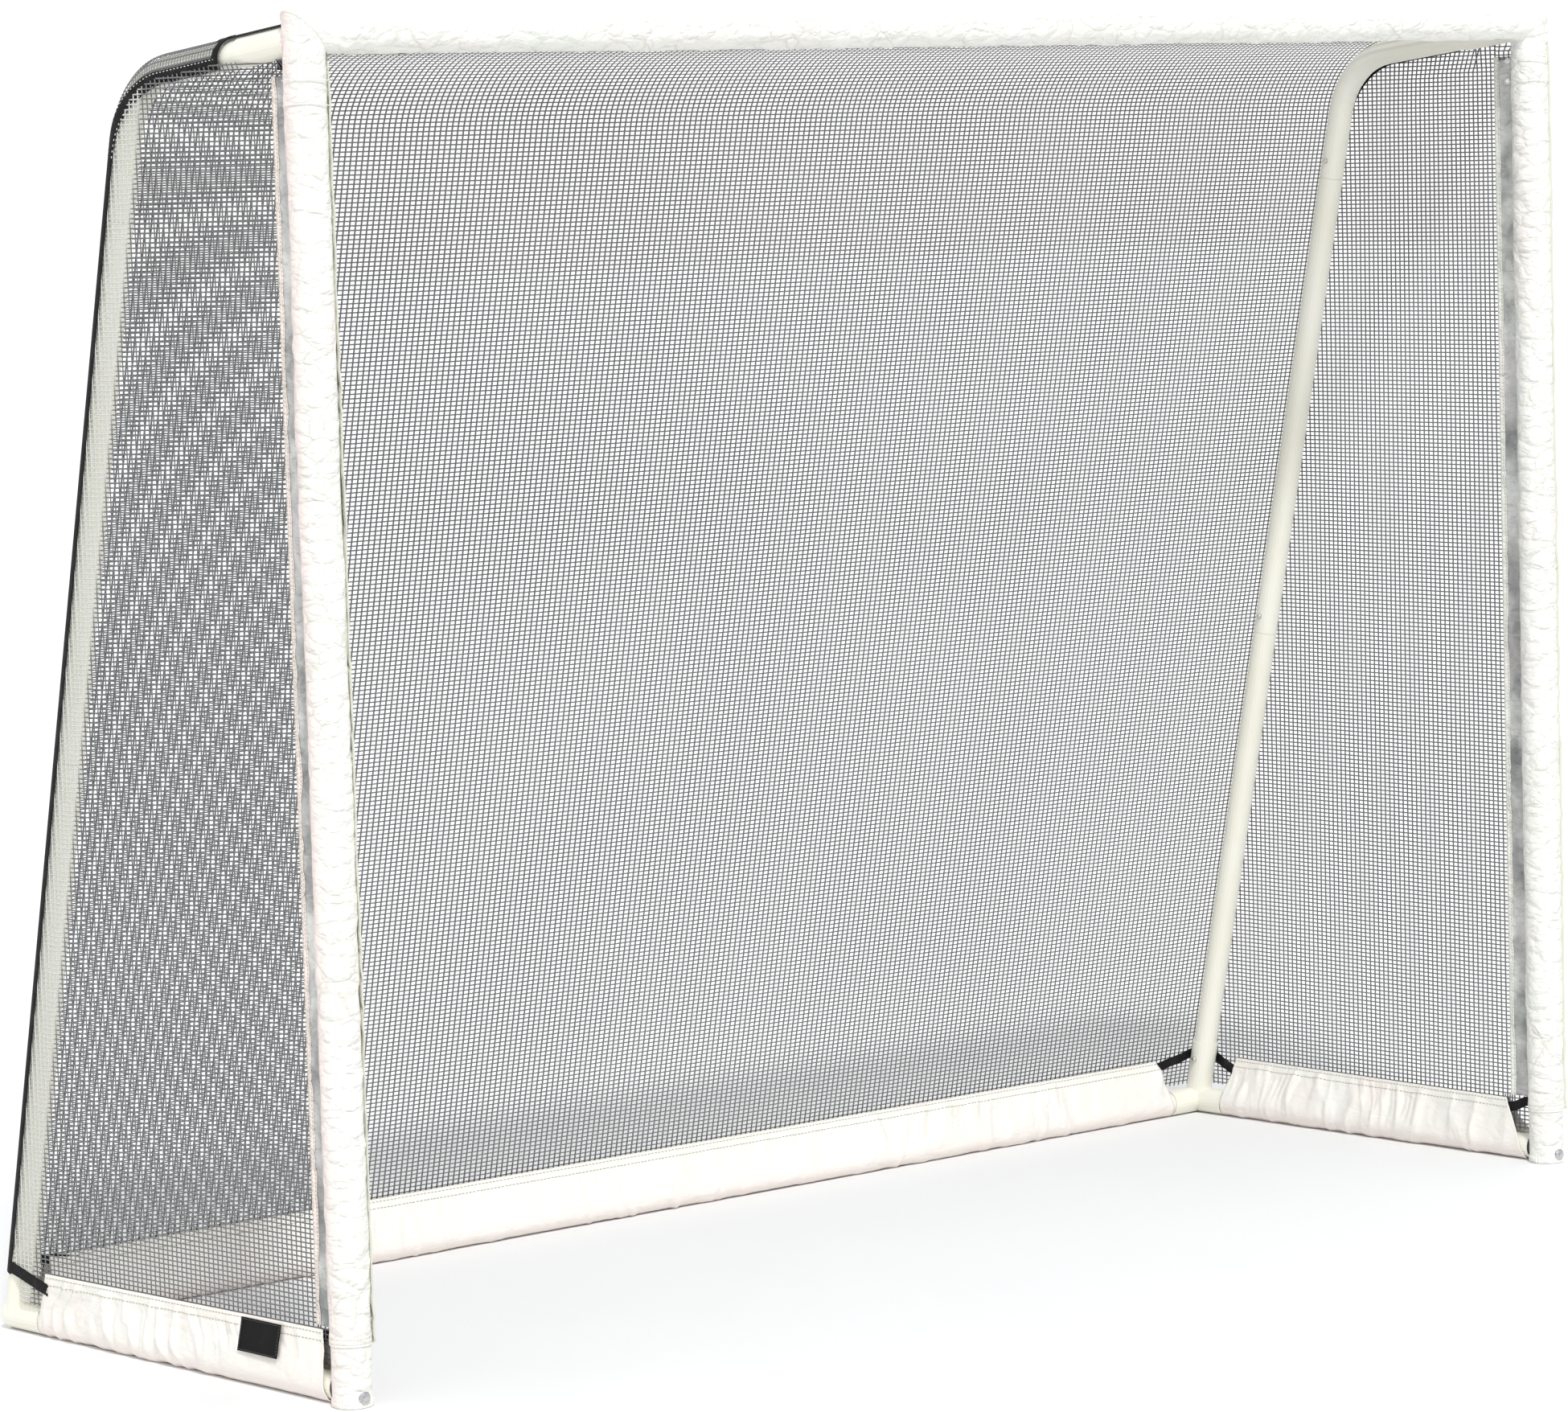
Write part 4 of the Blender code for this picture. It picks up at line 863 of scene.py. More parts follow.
def net_side(side):
    """Side net, cut off along the seam behind the leg and under the top tube."""
    place = SIDE_NAMES[side]
    front = POST_Y + NET_FRONT
    skirt_end = POST_Y + SKIRT_REAR[side]
    skirt_start = POST_Y + SKIRT_FRONT[side]

    columns = np.arange(front + 0.002, BACK_Y + 0.01, SIDE_PITCH)
    bare = LEG_Y_AT_STRAP + CORNER_NET_END[side]
    bottom = np.where((columns > skirt_end - 0.004) & (columns < bare), NET_BOTTOM_Z, NET_TUCK_Z)
    top = edge_z(columns)
    keep = top - bottom > 0.02
    columns, bottom, top = columns[keep][:, None], bottom[keep][:, None], top[keep][:, None]
    z = bottom + (top - bottom) * np.linspace(0, 1, 42)
    families = [(columns + wander(columns, z, 31 + side), z, *COLUMN_CORD)]

    levels = np.arange(NET_BOTTOM_Z + 0.003, SIDE_NET_EDGE[-1, 1], ROW_PITCH)[:, None]
    begin = np.where(levels < NET_TUCK_Z, skirt_end, front)
    end = np.where(levels < NET_TUCK_Z, bare, edge_y(levels))
    y = begin + (end - begin) * np.linspace(0, 1, 14)
    families.append((y, levels + wander(levels, y, 33 + side), *ROW_CORD))

    # Above the hem the net reaches the post
    y = np.arange(POST_Y + SLEEVE_R + 0.003, front, SIDE_PITCH)
    top = edge_z(y)[:, None]
    z = HEM_TOP_Z - 0.006 + (top - HEM_TOP_Z + 0.006) * np.linspace(0, 1, 3)
    families.append((*np.broadcast_arrays(y[:, None], z), *COLUMN_CORD))
    levels = np.arange(HEM_TOP_Z - 0.004, float(top.min()), ROW_PITCH)[:, None]
    y = np.linspace(POST_Y + SLEEVE_R + 0.001, front, 3)
    families.append((*np.broadcast_arrays(y, levels), *ROW_CORD))
    # The open triangle between the skirt's slanted end and the post
    y = np.arange(POST_Y + SLEEVE_R + 0.006, skirt_start + 0.012, SIDE_PITCH)[:, None]
    z = NET_BOTTOM_Z + (HEM_BOTTOM_Z - NET_BOTTOM_Z) * np.linspace(0, 1, 3)
    families.append((*np.broadcast_arrays(y, z), *COLUMN_CORD))
    levels = np.arange(NET_BOTTOM_Z + 0.003, HEM_BOTTOM_Z, ROW_PITCH)[:, None]
    y = np.linspace(POST_Y + SLEEVE_R + 0.002, skirt_start + 0.012, 3)
    families.append((*np.broadcast_arrays(y, levels), *ROW_CORD))

    net_piece(f"net_side_{place}_woven", side_place(side), families,
              f"net_side_{place}")


# ---- stitches ------------------------------------------------------------------------------

def stitch_parts(path, outward, pitch=0.0042, length=0.0028, radius=0.0004):
    """Stitches along a path (points, 3) as small cords that dip at both ends."""
    path, outward = np.asarray(path, float), np.asarray(outward, float)
    reach = reach_along(path)
    starts = np.arange(pitch / 2, reach[-1] - length, pitch)
    places = starts[:, None] + length * np.array((0, 0.2, 0.8, 1.0))
    points = read_path(path, reach, places)
    normals = unit(read_path(outward, reach, places))
    sink = np.array((-1.0, 0.45, 0.45, -1.0)) * radius
    return sweep(points + normals * sink[:, None], normals, round_section(radius, 6)[::-1],
                 scale=np.array((0.5, 1, 1, 0.5)))


def stitching(name, lines, material, slot, **sizes):
    parts = [stitch_parts(path, outward, **sizes) for path, outward in lines]
    return cord_piece(name, parts, material)


# ---- sleeves -------------------------------------------------------------------------------

OPENING_R = 0.0226  # opening in the sleeves for the rear socket


def opening_surface_y(outboard, z):
    """Back of the mitred sleeves' surface at a place seen from behind."""
    drop = np.where(z - CROSSBAR_Z < outboard, outboard, z - CROSSBAR_Z)
    return POST_Y + np.sqrt(np.maximum(SLEEVE_R ** 2 - drop ** 2, 0))


def open_for_socket(points):
    """Moves points inside the opening to its rim; returns the points and which were inside."""
    outboard = np.abs(points[..., 0]) - POST_X
    axis_z = TOP_AXIS_Z - (points[..., 1] - POST_Y) * math.tan(TOP_FALL)
    rise = points[..., 2] - axis_z
    away = np.hypot(outboard, rise)
    inside = (away < OPENING_R) & (points[..., 1] > POST_Y)
    grow = OPENING_R / np.maximum(away, 1e-6)
    new_out, new_z = outboard * grow, axis_z + rise * grow
    moved = spread(np.sign(points[..., 0]) * (POST_X + new_out),
                   opening_surface_y(new_out, new_z), new_z)
    return np.where(inside[..., None], moved, points), inside


def angle_stations(seam_angle, lap):
    """Angles round a sleeve, from one edge of its seam to the other, closer near the seam."""
    whole = np.linspace(seam_angle, seam_angle + math.tau, 57)
    near = np.array((0.012, 0.03, 0.06))
    extra = np.concatenate((seam_angle + near, seam_angle + math.tau - near,
                            seam_angle + math.tau + np.linspace(0, lap, 4)[1:]))
    return np.unique(np.concatenate((whole, extra)))


# The posts' seams, from outboard towards the back: both open to the goal's right
POST_SEAM = {-1: math.radians(211), 1: math.radians(309)}
SEAM_LAP = 0.21


def sleeve_radius(around, along, seed, gathers_at, gather_size):
    """Radius of a loose sleeve with folds, at arc length round it and length along it."""
    angle = around / SLEEVE_R
    radius = SLEEVE_R - 0.0007 + 0.0006 * noise(angle / 1.6, along / 0.19, seed)
    patches = fade(noise(angle / 1.9, along / 0.12, seed + 1), -0.35, 0.45)
    radius = radius + 0.0019 * patches * creases(
        along / 0.041 + around / 0.030, along / 0.15 - around / 0.060, seed + 2, 4.0)
    others = fade(noise(angle / 1.7, along / 0.15, seed + 5), -0.2, 0.6)
    radius = radius - 0.0015 * others * creases(
        along / 0.050 - around / 0.027, along / 0.10, seed + 3, 5.0)
    radius = radius + 0.0005 * noise(along / 0.012, around / 0.018, seed + 7)
    gap = np.angle(np.exp(1j * (angle - gathers_at)))
    gathers = creases(along / 0.019 + 0.35 * noise(along / 0.06, angle, seed + 6),
                      around / 0.060, seed + 4, 2.0) - 0.30
    radius = radius + gather_size * gathers * np.exp(-(gap / 0.75) ** 2)
    return np.maximum(radius, POST_R + 0.0008)


def at_mitre(radius, share, width):
    """Radius of a sleeve that is drawn tight to its mitred end, where share is 1."""
    mitre = hump(share, 1.0, width)
    return radius * (1 - mitre) + (SLEEVE_R + 0.0005) * mitre


def post_sleeve_point(side, angle, z, radius):
    return spread(side * (POST_X + radius * np.cos(angle)), POST_Y + radius * np.sin(angle), z)


def post_radius(side, angle, z):
    """Radius of a post's sleeve with its hem, cross seam and long seam."""
    radius = sleeve_radius(angle * SLEEVE_R, z, 40 + side, math.pi / 2, 0.0018)
    hem = 1 - fade(z, SLEEVE_HEM_Z + 0.012, SLEEVE_HEM_Z + 0.014)
    radius = radius * (1 - 0.7 * hem) + (SLEEVE_R + 0.0003) * 0.7 * hem
    for height in (0.0035, 0.0100):
        radius = radius - 0.0005 * hump(z, SLEEVE_HEM_Z + height, 0.0012)
    # Cross seam under the corner
    radius = radius + 0.0007 * hump(z, CROSSBAR_Z - SLEEVE_R - 0.002, 0.0025)
    past_seam = angle - POST_SEAM[side] - math.tau
    flap = fade(past_seam, -0.03, 0.0)
    piping = fade(past_seam, 0.10, 0.17)
    return radius + 0.0009 * flap + 0.0017 * piping


def post_line(side, angle, z):
    """A line on the post's sleeve and its outward directions."""
    angle, z = np.broadcast_arrays(angle, z)
    points = post_sleeve_point(side, angle, z, post_radius(side, angle, z) + 0.0002)
    outward = spread(side * np.cos(angle), np.sin(angle), angle * 0)
    return points, outward


def post_sleeve(side):
    """Sleeve of a post, from its bottom hem to the mitre."""
    place = SIDE_NAMES[side]
    seam = POST_SEAM[side]
    angle = angle_stations(seam, SEAM_LAP)
    share = np.concatenate((np.linspace(0, 0.012, 9)[:-1], np.linspace(0.012, 1, 560)))
    rim = CROSSBAR_Z + SLEEVE_R * np.cos(angle)
    z = SLEEVE_HEM_Z + (rim - SLEEVE_HEM_Z) * share[:, None]
    angle = np.broadcast_to(angle, z.shape)
    radius = at_mitre(post_radius(side, angle, z), share[:, None], 0.0035)
    points = post_sleeve_point(side, angle, z, radius)
    points, inside = open_for_socket(points)
    sleeve = cloth_piece(f"post_sleeve_{place}_cloth", points, spread(angle * SLEEVE_R, z),
                         SLEEVE, [f"post_sleeve_{place}"], flip=side < 0,
                         drop=inside)
    around = seam + np.linspace(0, math.tau, 60)
    lines = [post_line(side, around, SLEEVE_HEM_Z + height) for height in (0.0035, 0.0100)]
    up = np.linspace(SLEEVE_HEM_Z + 0.016, CROSSBAR_Z - 0.03, 400)
    lines += [post_line(side, seam + math.tau + turn, up) for turn in (0.05, 0.13)]
    thread = stitching(f"post_sleeve_stitches_{place}", lines, PALE_THREAD, "white_sleeve")
    opening_binding(side)
    mitre_seam(side)
    post_piping(side)


def post_piping(side):
    """Welt sewn into the long seam of a post's sleeve; the welt is real, its greenish grey tone
    is painted shade along the sleeve's edge.
    """
    z = np.linspace(SLEEVE_HEM_Z + 0.002, CROSSBAR_Z - 0.036, 500)
    points, outward = post_line(side, np.full(500, POST_SEAM[side] + math.tau + 0.06), z)
    points = points + outward * (0.0014 + 0.0008 * noise(z / 0.024, 0.5, 90 + side))[:, None]
    welt = sweep(points[None], outward[None], round_section(0.0018, 10) * (0.8, 1.2))
    return cord_piece(f"post_piping_{SIDE_NAMES[side]}", [welt], PIPING)


CROSSBAR_SEAM = math.radians(236)  # from the front over the top; below, towards the back


def crossbar_radius(angle, x):
    """Radius of the crossbar's sleeve, pleated near both ends."""
    radius = sleeve_radius(angle * SLEEVE_R, x, 60, math.radians(300), 0.0020)
    near_end = hump(np.abs(x), POST_X - 0.045, 0.03)
    pleats = creases(np.abs(x) / 0.012 + angle * 0.6, angle / 1.3, 66, 2.0) - 0.4
    radius = radius + 0.0012 * near_end * pleats
    flap = fade(angle, CROSSBAR_SEAM + math.tau - 0.03, CROSSBAR_SEAM + math.tau)
    return np.maximum(radius, POST_R + 0.0008) + 0.0009 * flap


def crossbar_point(x, angle, radius):
    return spread(x, POST_Y - radius * np.cos(angle), CROSSBAR_Z + radius * np.sin(angle))


def crossbar_sleeve():
    """Sleeve of the crossbar, between the two mitres."""
    angle = angle_stations(CROSSBAR_SEAM, SEAM_LAP)
    share = np.linspace(-1, 1, 800)
    reach = POST_X + SLEEVE_R * np.sin(angle)
    x = share[:, None] * reach
    angle = np.broadcast_to(angle, x.shape)
    radius = at_mitre(crossbar_radius(angle, x), np.abs(share[:, None]), 0.0040)
    points = crossbar_point(x, angle, radius)
    points, inside = open_for_socket(points)
    sleeve = cloth_piece("crossbar_sleeve_cloth", points, spread(angle * SLEEVE_R, x), SLEEVE,
                         ["crossbar_sleeve"], drop=inside)
    x = np.linspace(-POST_X + 0.05, POST_X - 0.05, 500)
    lines = []
    for turn in (0.05, 0.16):
        level = np.full_like(x, CROSSBAR_SEAM + math.tau + turn)
        radii = crossbar_radius(level, x) + 0.0002
        lines.append((crossbar_point(x, level, radii),
                      crossbar_point(x * 0, level, radii * 0 + 1) - (0, POST_Y, CROSSBAR_Z)))
    thread = stitching("crossbar_sleeve_stitches", lines, PALE_THREAD, "white_sleeve")


def opening_binding(side):
    """Rolled edge of the sleeves' opening round the rear socket."""
    turn = circle(72)
    outboard = OPENING_R * np.cos(turn)
    z = TOP_AXIS_Z - SLEEVE_R * math.tan(TOP_FALL) + OPENING_R * np.sin(turn)
    z = np.minimum(z, CROSSBAR_Z + SLEEVE_R - 0.001)
    y = opening_surface_y(outboard, z) + 0.0004
    points = spread(side * (POST_X + outboard), y, z)[None]
    centre = np.array((side * POST_X, POST_Y + 0.02, TOP_AXIS_Z))
    radius = 0.0014 + 0.0002 * np.sin(turn * 18)
    roll = sweep(points, unit(points - centre), round_section(1.0), closed=True, scale=radius)
    return cord_piece(f"sleeve_opening_binding_{SIDE_NAMES[side]}", [roll], SLEEVE)


def mitre_seam(side):
    """Raised seam where a post's sleeve meets the crossbar's."""
    turn = circle(96)
    reach = SLEEVE_R + 0.0006
    outboard, back = reach * np.cos(turn), reach * np.sin(turn)
    points = spread(side * (POST_X + outboard), POST_Y + back, CROSSBAR_Z + outboard)
    behind = (back > 0) & (np.hypot(outboard, points[:, 2] - TOP_AXIS_Z) < OPENING_R + 0.001)
    keep = np.where(~behind)[0]
    start = keep[np.argmax(np.diff(np.concatenate((keep, [keep[0] + len(turn)]))))]
    order = np.roll(np.arange(len(turn)), -start - 1)
    order = order[~behind[order]]
    outward = spread(side * np.cos(turn), np.sin(turn), np.cos(turn) * 0)
    ridge = sweep(points[order][None], unit(outward)[order][None],
                  round_section(0.0010) * (1.6, 0.8))
    return cord_piece(f"mitre_seam_{SIDE_NAMES[side]}", [ridge], SLEEVE)


# ---- net hems ------------------------------------------------------------------------------

def hem_stand(share, z):
    """How far the strip's folds stand out of its plane; share runs from sleeve to net."""
    folds = creases(z / 0.023 + 0.3 * noise(z / 0.08, share, 83), share * 0.9, 82, 1.6) - 0.4
    waves = noise(z / 0.055, share * 1.3, 84)
    loose = np.sin(math.pi * np.clip(share * 1.05, 0, 1)) ** 0.7
    return (0.0052 * folds + 0.0030 * waves) * loose


def net_hem(side):
    """White strip between post sleeve and net: gathered at the sleeve, stitched at the net."""
    place = SIDE_NAMES[side]
    start, end = SLEEVE_R - 0.0012, NET_FRONT + 0.002
    edge_width = 0.0085
    z = np.linspace(HEM_BOTTOM_Z, HEM_TOP_Z, 560)[:, None]
    share = np.linspace(0, 1, 17)[None, :]
    behind = start + (end - start) * share + 0.0012 * noise(z / 0.045, 0.5, 81) * share ** 3
    points = spread(side * (POST_X + hem_stand(share, z)), POST_Y + behind, z)
    # The strip's material paints it grey, with patches of painted shade
    hem = cloth_piece(f"net_hem_{place}_cloth", points, spread(behind, z), HEM,
                      [f"net_hem_{place}"], thickness=0.0010, flip=side > 0)
    # Folded edge of the strip, sewn over the net's edge
    share = np.linspace((end - edge_width - start) / (end - start), 1.03, 6)[None, :]
    lines, edges = [], []
    for face in (-1, 1):
        out = side * (POST_X + hem_stand(share, z)) + face * 0.0013
        points = spread(out, POST_Y + start + (end - start) * share, z)
        edges.append(cloth_piece(
            f"net_hem_edge_{place}_{'inner' if face * side < 0 else 'outer'}", points,
            spread(share * (end - start), z), SLEEVE, thickness=0.0008,
            flip=face > 0))
        for column in (1, 4):
            line = points[:, column] + (face * 0.0005, 0, 0)
            lines.append((line, np.broadcast_to((float(face), 0.0, 0.0), line.shape)))
    thread = stitching(f"net_hem_stitches_{place}", lines, PALE_THREAD, "white_sleeve",
                       pitch=0.0055, length=0.0034, radius=0.00055)


# ---- skirts --------------------------------------------------------------------------------

SKIRT_COLUMNS = 44  # points round a skirt, and the ones that its hems' seams follow
HEM_LINES = (1, 3, 40, 42)
HEM_SPOTS = tuple(abs(line / (SKIRT_COLUMNS - 1) - 0.5) * 2 for line in HEM_LINES[:2])
NOWHERE = 9.0


def skirt_section(apex):
    """Cloth folded round a base tube: (out, z) points and outward directions, inner top first.

    apex is how far outside the base tube's axis the net, which the skirt holds, stands.
    """
    part = 0.0024
    rise = SKIRT_TOP_Z - BASE_Z

    def tangent(out, way):
        return math.atan2(rise, out) + way * math.acos(SKIRT_R / math.hypot(out, rise))

    begin, finish = tangent(apex - part, 1), tangent(apex + part, -1) + math.tau
    angles = np.linspace(begin, finish, 40)
    bottom = spread(SKIRT_R * np.cos(angles), BASE_Z + SKIRT_R * np.sin(angles))
    section = np.concatenate(([(apex - part, SKIRT_TOP_Z)], bottom,
                              [(apex + part, SKIRT_TOP_Z)]))
    section = even(section, SKIRT_COLUMNS)
    along = unit(np.gradient(section, axis=0))
    return section, spread(along[:, 1], -along[:, 0])


def skirt_folds(length_at, share, seed, still_at):
    """How far gathered skirt cloth stands off its section."""
    wall = np.abs(share - 0.5) * 2  # 1 at the top hems, 0 under the tube
    body = 1 - fade(wall, 0.84, 1.0)
    face = 7.0 * (share > 0.5)
    slant = length_at + 0.022 * noise(wall * 2.0 + face, length_at / 0.09, seed + 1)
    folds = creases(slant / 0.030, wall * 0.8 + face, seed, 2.2) - 0.32
    small = creases(slant / 0.0125, wall * 1.3 + face, seed + 2, 1.8) - 0.36
    broad = noise(length_at / 0.13, wall + face, seed + 3)
    tight = fade(noise(length_at / 0.17, share * 2, seed + 4), -0.6, 0.3)
    stand = (0.0080 * folds + 0.0034 * small) * (0.35 + 0.65 * tight) + 0.0012 * broad
    under = 1 - fade(wall, 0.25, 0.45)
    floor_gap = np.where((wall > 0.45) & (wall < 0.8), -0.0030, -0.0009)
    # The label keeps the outer face flat
    body = body * (1 - (share > 0.5) * (1 - fade(np.abs(length_at - still_at), 0.028, 0.05)))
    return body * np.maximum(stand * (1 - 0.6 * under), floor_gap)


def skirt_rows(shares, apexes, ends, slants, seed, socket_from=NOWHERE, still_at=NOWHERE):
    """Length, out, z and share round the tube at each point of a skirt with slanted ends."""
    rows = []
    share = np.linspace(0, 1, SKIRT_COLUMNS)
    wall = np.abs(share - 0.5) * 2
    hem = fade(wall, 0.80, 0.83)
    grooves = sum(hump(wall, spot, 0.014) for spot in HEM_SPOTS)
    for share_along, apex in zip(shares, apexes):
        section, normal = skirt_section(apex)
        lowness = 1 - np.clip((section[:, 1] - 0.012) / (SKIRT_TOP_Z - 0.012), 0, 1)
        first = ends[0] - slants[0] * lowness
        last = ends[1] + slants[1] * lowness
        length_at = first + (last - first) * share_along
        stand = skirt_folds(length_at, share, seed, still_at) + 0.0006 * hem - 0.0005 * grooves
        stand = stand + 0.0006 * (hump(share_along, 0.0, 0.006) + hump(share_along, 1.0, 0.006))
        over_socket = fade(np.abs(length_at), socket_from - 0.010, socket_from)
        stand = stand + 0.0018 * over_socket * (wall < 0.8)
        place = section + normal * stand[:, None]
        rows.append(spread(length_at, place[:, 0], place[:, 1], share))
    return np.array(rows)


def add_skirt(node, points, rows, flip, section_length):
    """A skirt with the seams of its two top hems."""
    name = f"{node}_cloth"
    flat = spread(rows[..., 3] * section_length, rows[..., 0])
    skirt = cloth_piece(name, points, flat, SKIRT, [node], 0.0010, flip)
    normals = np.cross(np.gradient(points, axis=0), np.gradient(points, axis=1))
    normals = unit(normals) * (1 if flip else -1)
    lines = [(points[:, column] + normals[:, column] * 0.0006, normals[:, column])
             for column in HEM_LINES]
    thread = stitching(f"{name}_stitches", lines, PALE_THREAD, "white_skirt",
                       pitch=0.0070, length=0.0056, radius=0.0007)


def skirt_side(side):
    """Skirt round a side base tube, slanted at both ends."""
    place = SIDE_NAMES[side]
    count = 230
    shares = np.linspace(0, 1, count)
    start, end = POST_Y + SKIRT_FRONT[side], POST_Y + SKIRT_REAR[side]
    apexes = net_spread(start + (end - start) * shares, np.full(count, SKIRT_TOP_Z))
    slants = (start - POST_Y - 0.032, POST_Y + SKIRT_SIDE_FOOT - end)
    low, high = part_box("label_patch")
    label_at = (low.y + high.y) / 2 if side < 0 else NOWHERE
    rows = skirt_rows(shares, apexes, (start, end), slants, 100 + side, still_at=label_at)
    points = spread(side * (POST_X + rows[..., 1]), rows[..., 0], rows[..., 2])
    add_skirt(f"skirt_{place}", points, rows, side > 0, path_length(skirt_section(0.01)[0]))


def skirt_back():
    """Skirt round the rear base tube."""
    count = 600
    shares = np.linspace(0, 1, count)
    ends = (SKIRT_BACK_END[-1] - POST_X, POST_X - SKIRT_BACK_END[1])
    leg_y = BACK_Y - (SKIRT_TOP_Z - BASE_Z) * math.tan(LEAN)
    apex = leg_y + NET_R / math.cos(LEAN) - BACK_Y
    rows = skirt_rows(shares, np.full(count, apex), ends, (0.020, 0.020), 120,
                      POST_X - 0.070)
    points = spread(rows[..., 0], BACK_Y + rows[..., 1], rows[..., 2])
    add_skirt("skirt_back", points, rows, False, path_length(skirt_section(apex)[0]))


# ---- webbing, straps, label and ties -------------------------------------------------------

def webbing_piece(name, points, flat, nodes=(), thickness=TAPE_THICK, flip=False):
    return cloth_piece(name, points, flat, WEBBING, nodes, thickness, flip)


def flat_tape(node, centres, across, width, flip):
    """A flat tape along centres (points, 3); across is its width direction at each point."""
    offsets = width * np.linspace(-0.5, 0.5, 5)
    points = centres[:, None] + across[:, None] * offsets[:, None]
    reach = reach_along(centres)
    tape = webbing_piece(f"{node}_tape", points, spread(reach[:, None], offsets), [node],
                         flip=flip)


def tube_tape(name, side, along, angle, width, nodes=()):
    """A tape that lies on the net round a rear tube, along a line of angles."""
    radius = NET_R + 0.0013
    share = np.linspace(-0.5, 0.5, 7)
    along, angle, width = np.broadcast_arrays(along, angle, width)
    turn = angle[:, None] + width[:, None] / radius * share
    points, _ = round_tube(side, along[:, None], turn, radius)
    flat = spread(along[:, None], width[:, None] * share)
    tape = webbing_piece(name, points, flat, nodes, flip=side > 0)


def seam_webbing(side):
    """Black tape over the nets' seam, wide on top and narrow down the leg."""
    place = SIDE_NAMES[side]
    along = np.concatenate((stations(TUCK, BEND_START - 0.08, 0.03),
                            stations(BEND_START - 0.08, SEAM_END, 0.006)[1:]))
    top = fade(along, BEND_START - 0.10, BEND_START + 0.12)
    width = 0.0150 + 0.0045 * top
    tube_tape(f"seam_webbing_{place}_tape", side, along, seam_angle(along), width,
              nodes=[f"seam_webbing_{place}"])
    keep = top > 0.25
    lines = [round_tube(side, along[keep], seam_angle(along[keep]) + turn, NET_R + 0.0019)
             for turn in (-0.32, 0.32)]
    stitching(f"seam_stitches_{place}", lines, WHITE_THREAD, "black_webbing",
              pitch=0.0080, length=0.0030, radius=0.0006)


def top_bands(side):
    """Binding of the top net's edge, and the slanted tape where the seam ends."""
    place = SIDE_NAMES[side]
    along = stations(SEAM_END - 0.004, TOP_END + 0.002, 0.012)
    tube_tape(f"net_top_edge_{place}", side, along, FRONT_EDGE, 0.0080)
    share = np.linspace(0, 1, 24)[:, None]
    angle = math.radians(14) + math.radians(122) * share
    middle = SEAM_END + 0.026 * (1 - share) ** 1.6 - 0.004
    across = np.linspace(-0.0065, 0.0065, 5)
    points, _ = round_tube(side, middle + across, np.broadcast_to(angle, (24, 5)),
                           NET_R + 0.0020)
    band = webbing_piece(f"net_top_band_{place}", points, spread(share * 0.05, across),
                         flip=side > 0)
    if side > 0:
        return
    # Tab that holds the side net's front top corner
    y = np.linspace(POST_Y + SLEEVE_R - 0.001, POST_Y + NET_FRONT - 0.010, 9)[None, :]
    z = SIDE_NET_EDGE[-1, 1] - 0.007 + np.linspace(-0.0065, 0.0065, 7)[:, None]
    out = POST_X + 0.0012 + 0.0008 * np.sin((y - POST_Y) / 0.011)
    points = spread(side * out, y, z)
    tab = webbing_piece(f"net_corner_tab_{place}", points, spread(y, z), thickness=0.0014,
                        flip=side < 0)


def rear_strap(side):
    """Webbing round the outside of the upright, from the back skirt to the side skirt."""
    place = SIDE_NAMES[side]
    over_net = NET_R + 0.0014
    inside_net = 0.0185
    skirt_at = POST_Y + SKIRT_REAR[side] - LEG_Y_AT_STRAP - 0.006
    turn = np.linspace(math.pi / 2, 0, 14)
    plan = [(-0.104, inside_net - 0.002), (-0.060, inside_net), (-0.030, inside_net)]
    plan += [(over_net * math.cos(a), over_net * math.sin(a)) for a in turn]
    beside_net = inside_net if side > 0 else over_net - 0.0004
    plan += [(beside_net, -0.030), (beside_net, skirt_at)]
    plan = even(plan, 60)
    away = np.maximum(-plan - 0.012, 0)
    sag = REAR_STRAP_FALL * away[:, 0] + SIDE_STRAP_FALL[side] * away[:, 1]
    behind_leg = np.array((0.0, math.cos(LEAN), math.sin(LEAN)))
    up_leg = np.array((0.0, *LEG_UP))
    centre = np.array((side * POST_X, LEG_Y_AT_STRAP, REAR_STRAP_Z))
    centres = (centre + plan[:, :1] * np.array((side, 0, 0)) + plan[:, 1:] * behind_leg
               - up_leg * sag[:, None])
    across = np.broadcast_to(up_leg, centres.shape)
    wrinkle = 0.0004 * noise(np.linspace(0, 14, len(centres)), 0.3, 140 + side)
    centres = centres + behind_leg * wrinkle[:, None]
    flat_tape(f"rear_strap_{place}", centres, across, STRAP_WIDTH, side > 0)


def front_strap(side):
    """Short tab from the side skirt's front corner up to the post."""
    place = SIDE_NAMES[side]
    start, end = SLEEVE_R - 0.0010, SLEEVE_R + 0.0480
    behind = np.linspace(start, end, 16)
    share = np.linspace(0, 1, 16)
    out = -0.0030 + 0.0016 * np.sin(share * math.pi)
    z = 0.0935 - 0.012 * fade(share, 0.1, 0.9)
    centres = spread(side * (POST_X + out), POST_Y + behind, z)
    across = np.broadcast_to((0.0, 0.18, 0.98), centres.shape)
    flat_tape(f"front_strap_{place}", centres, across, 0.0150, side < 0)


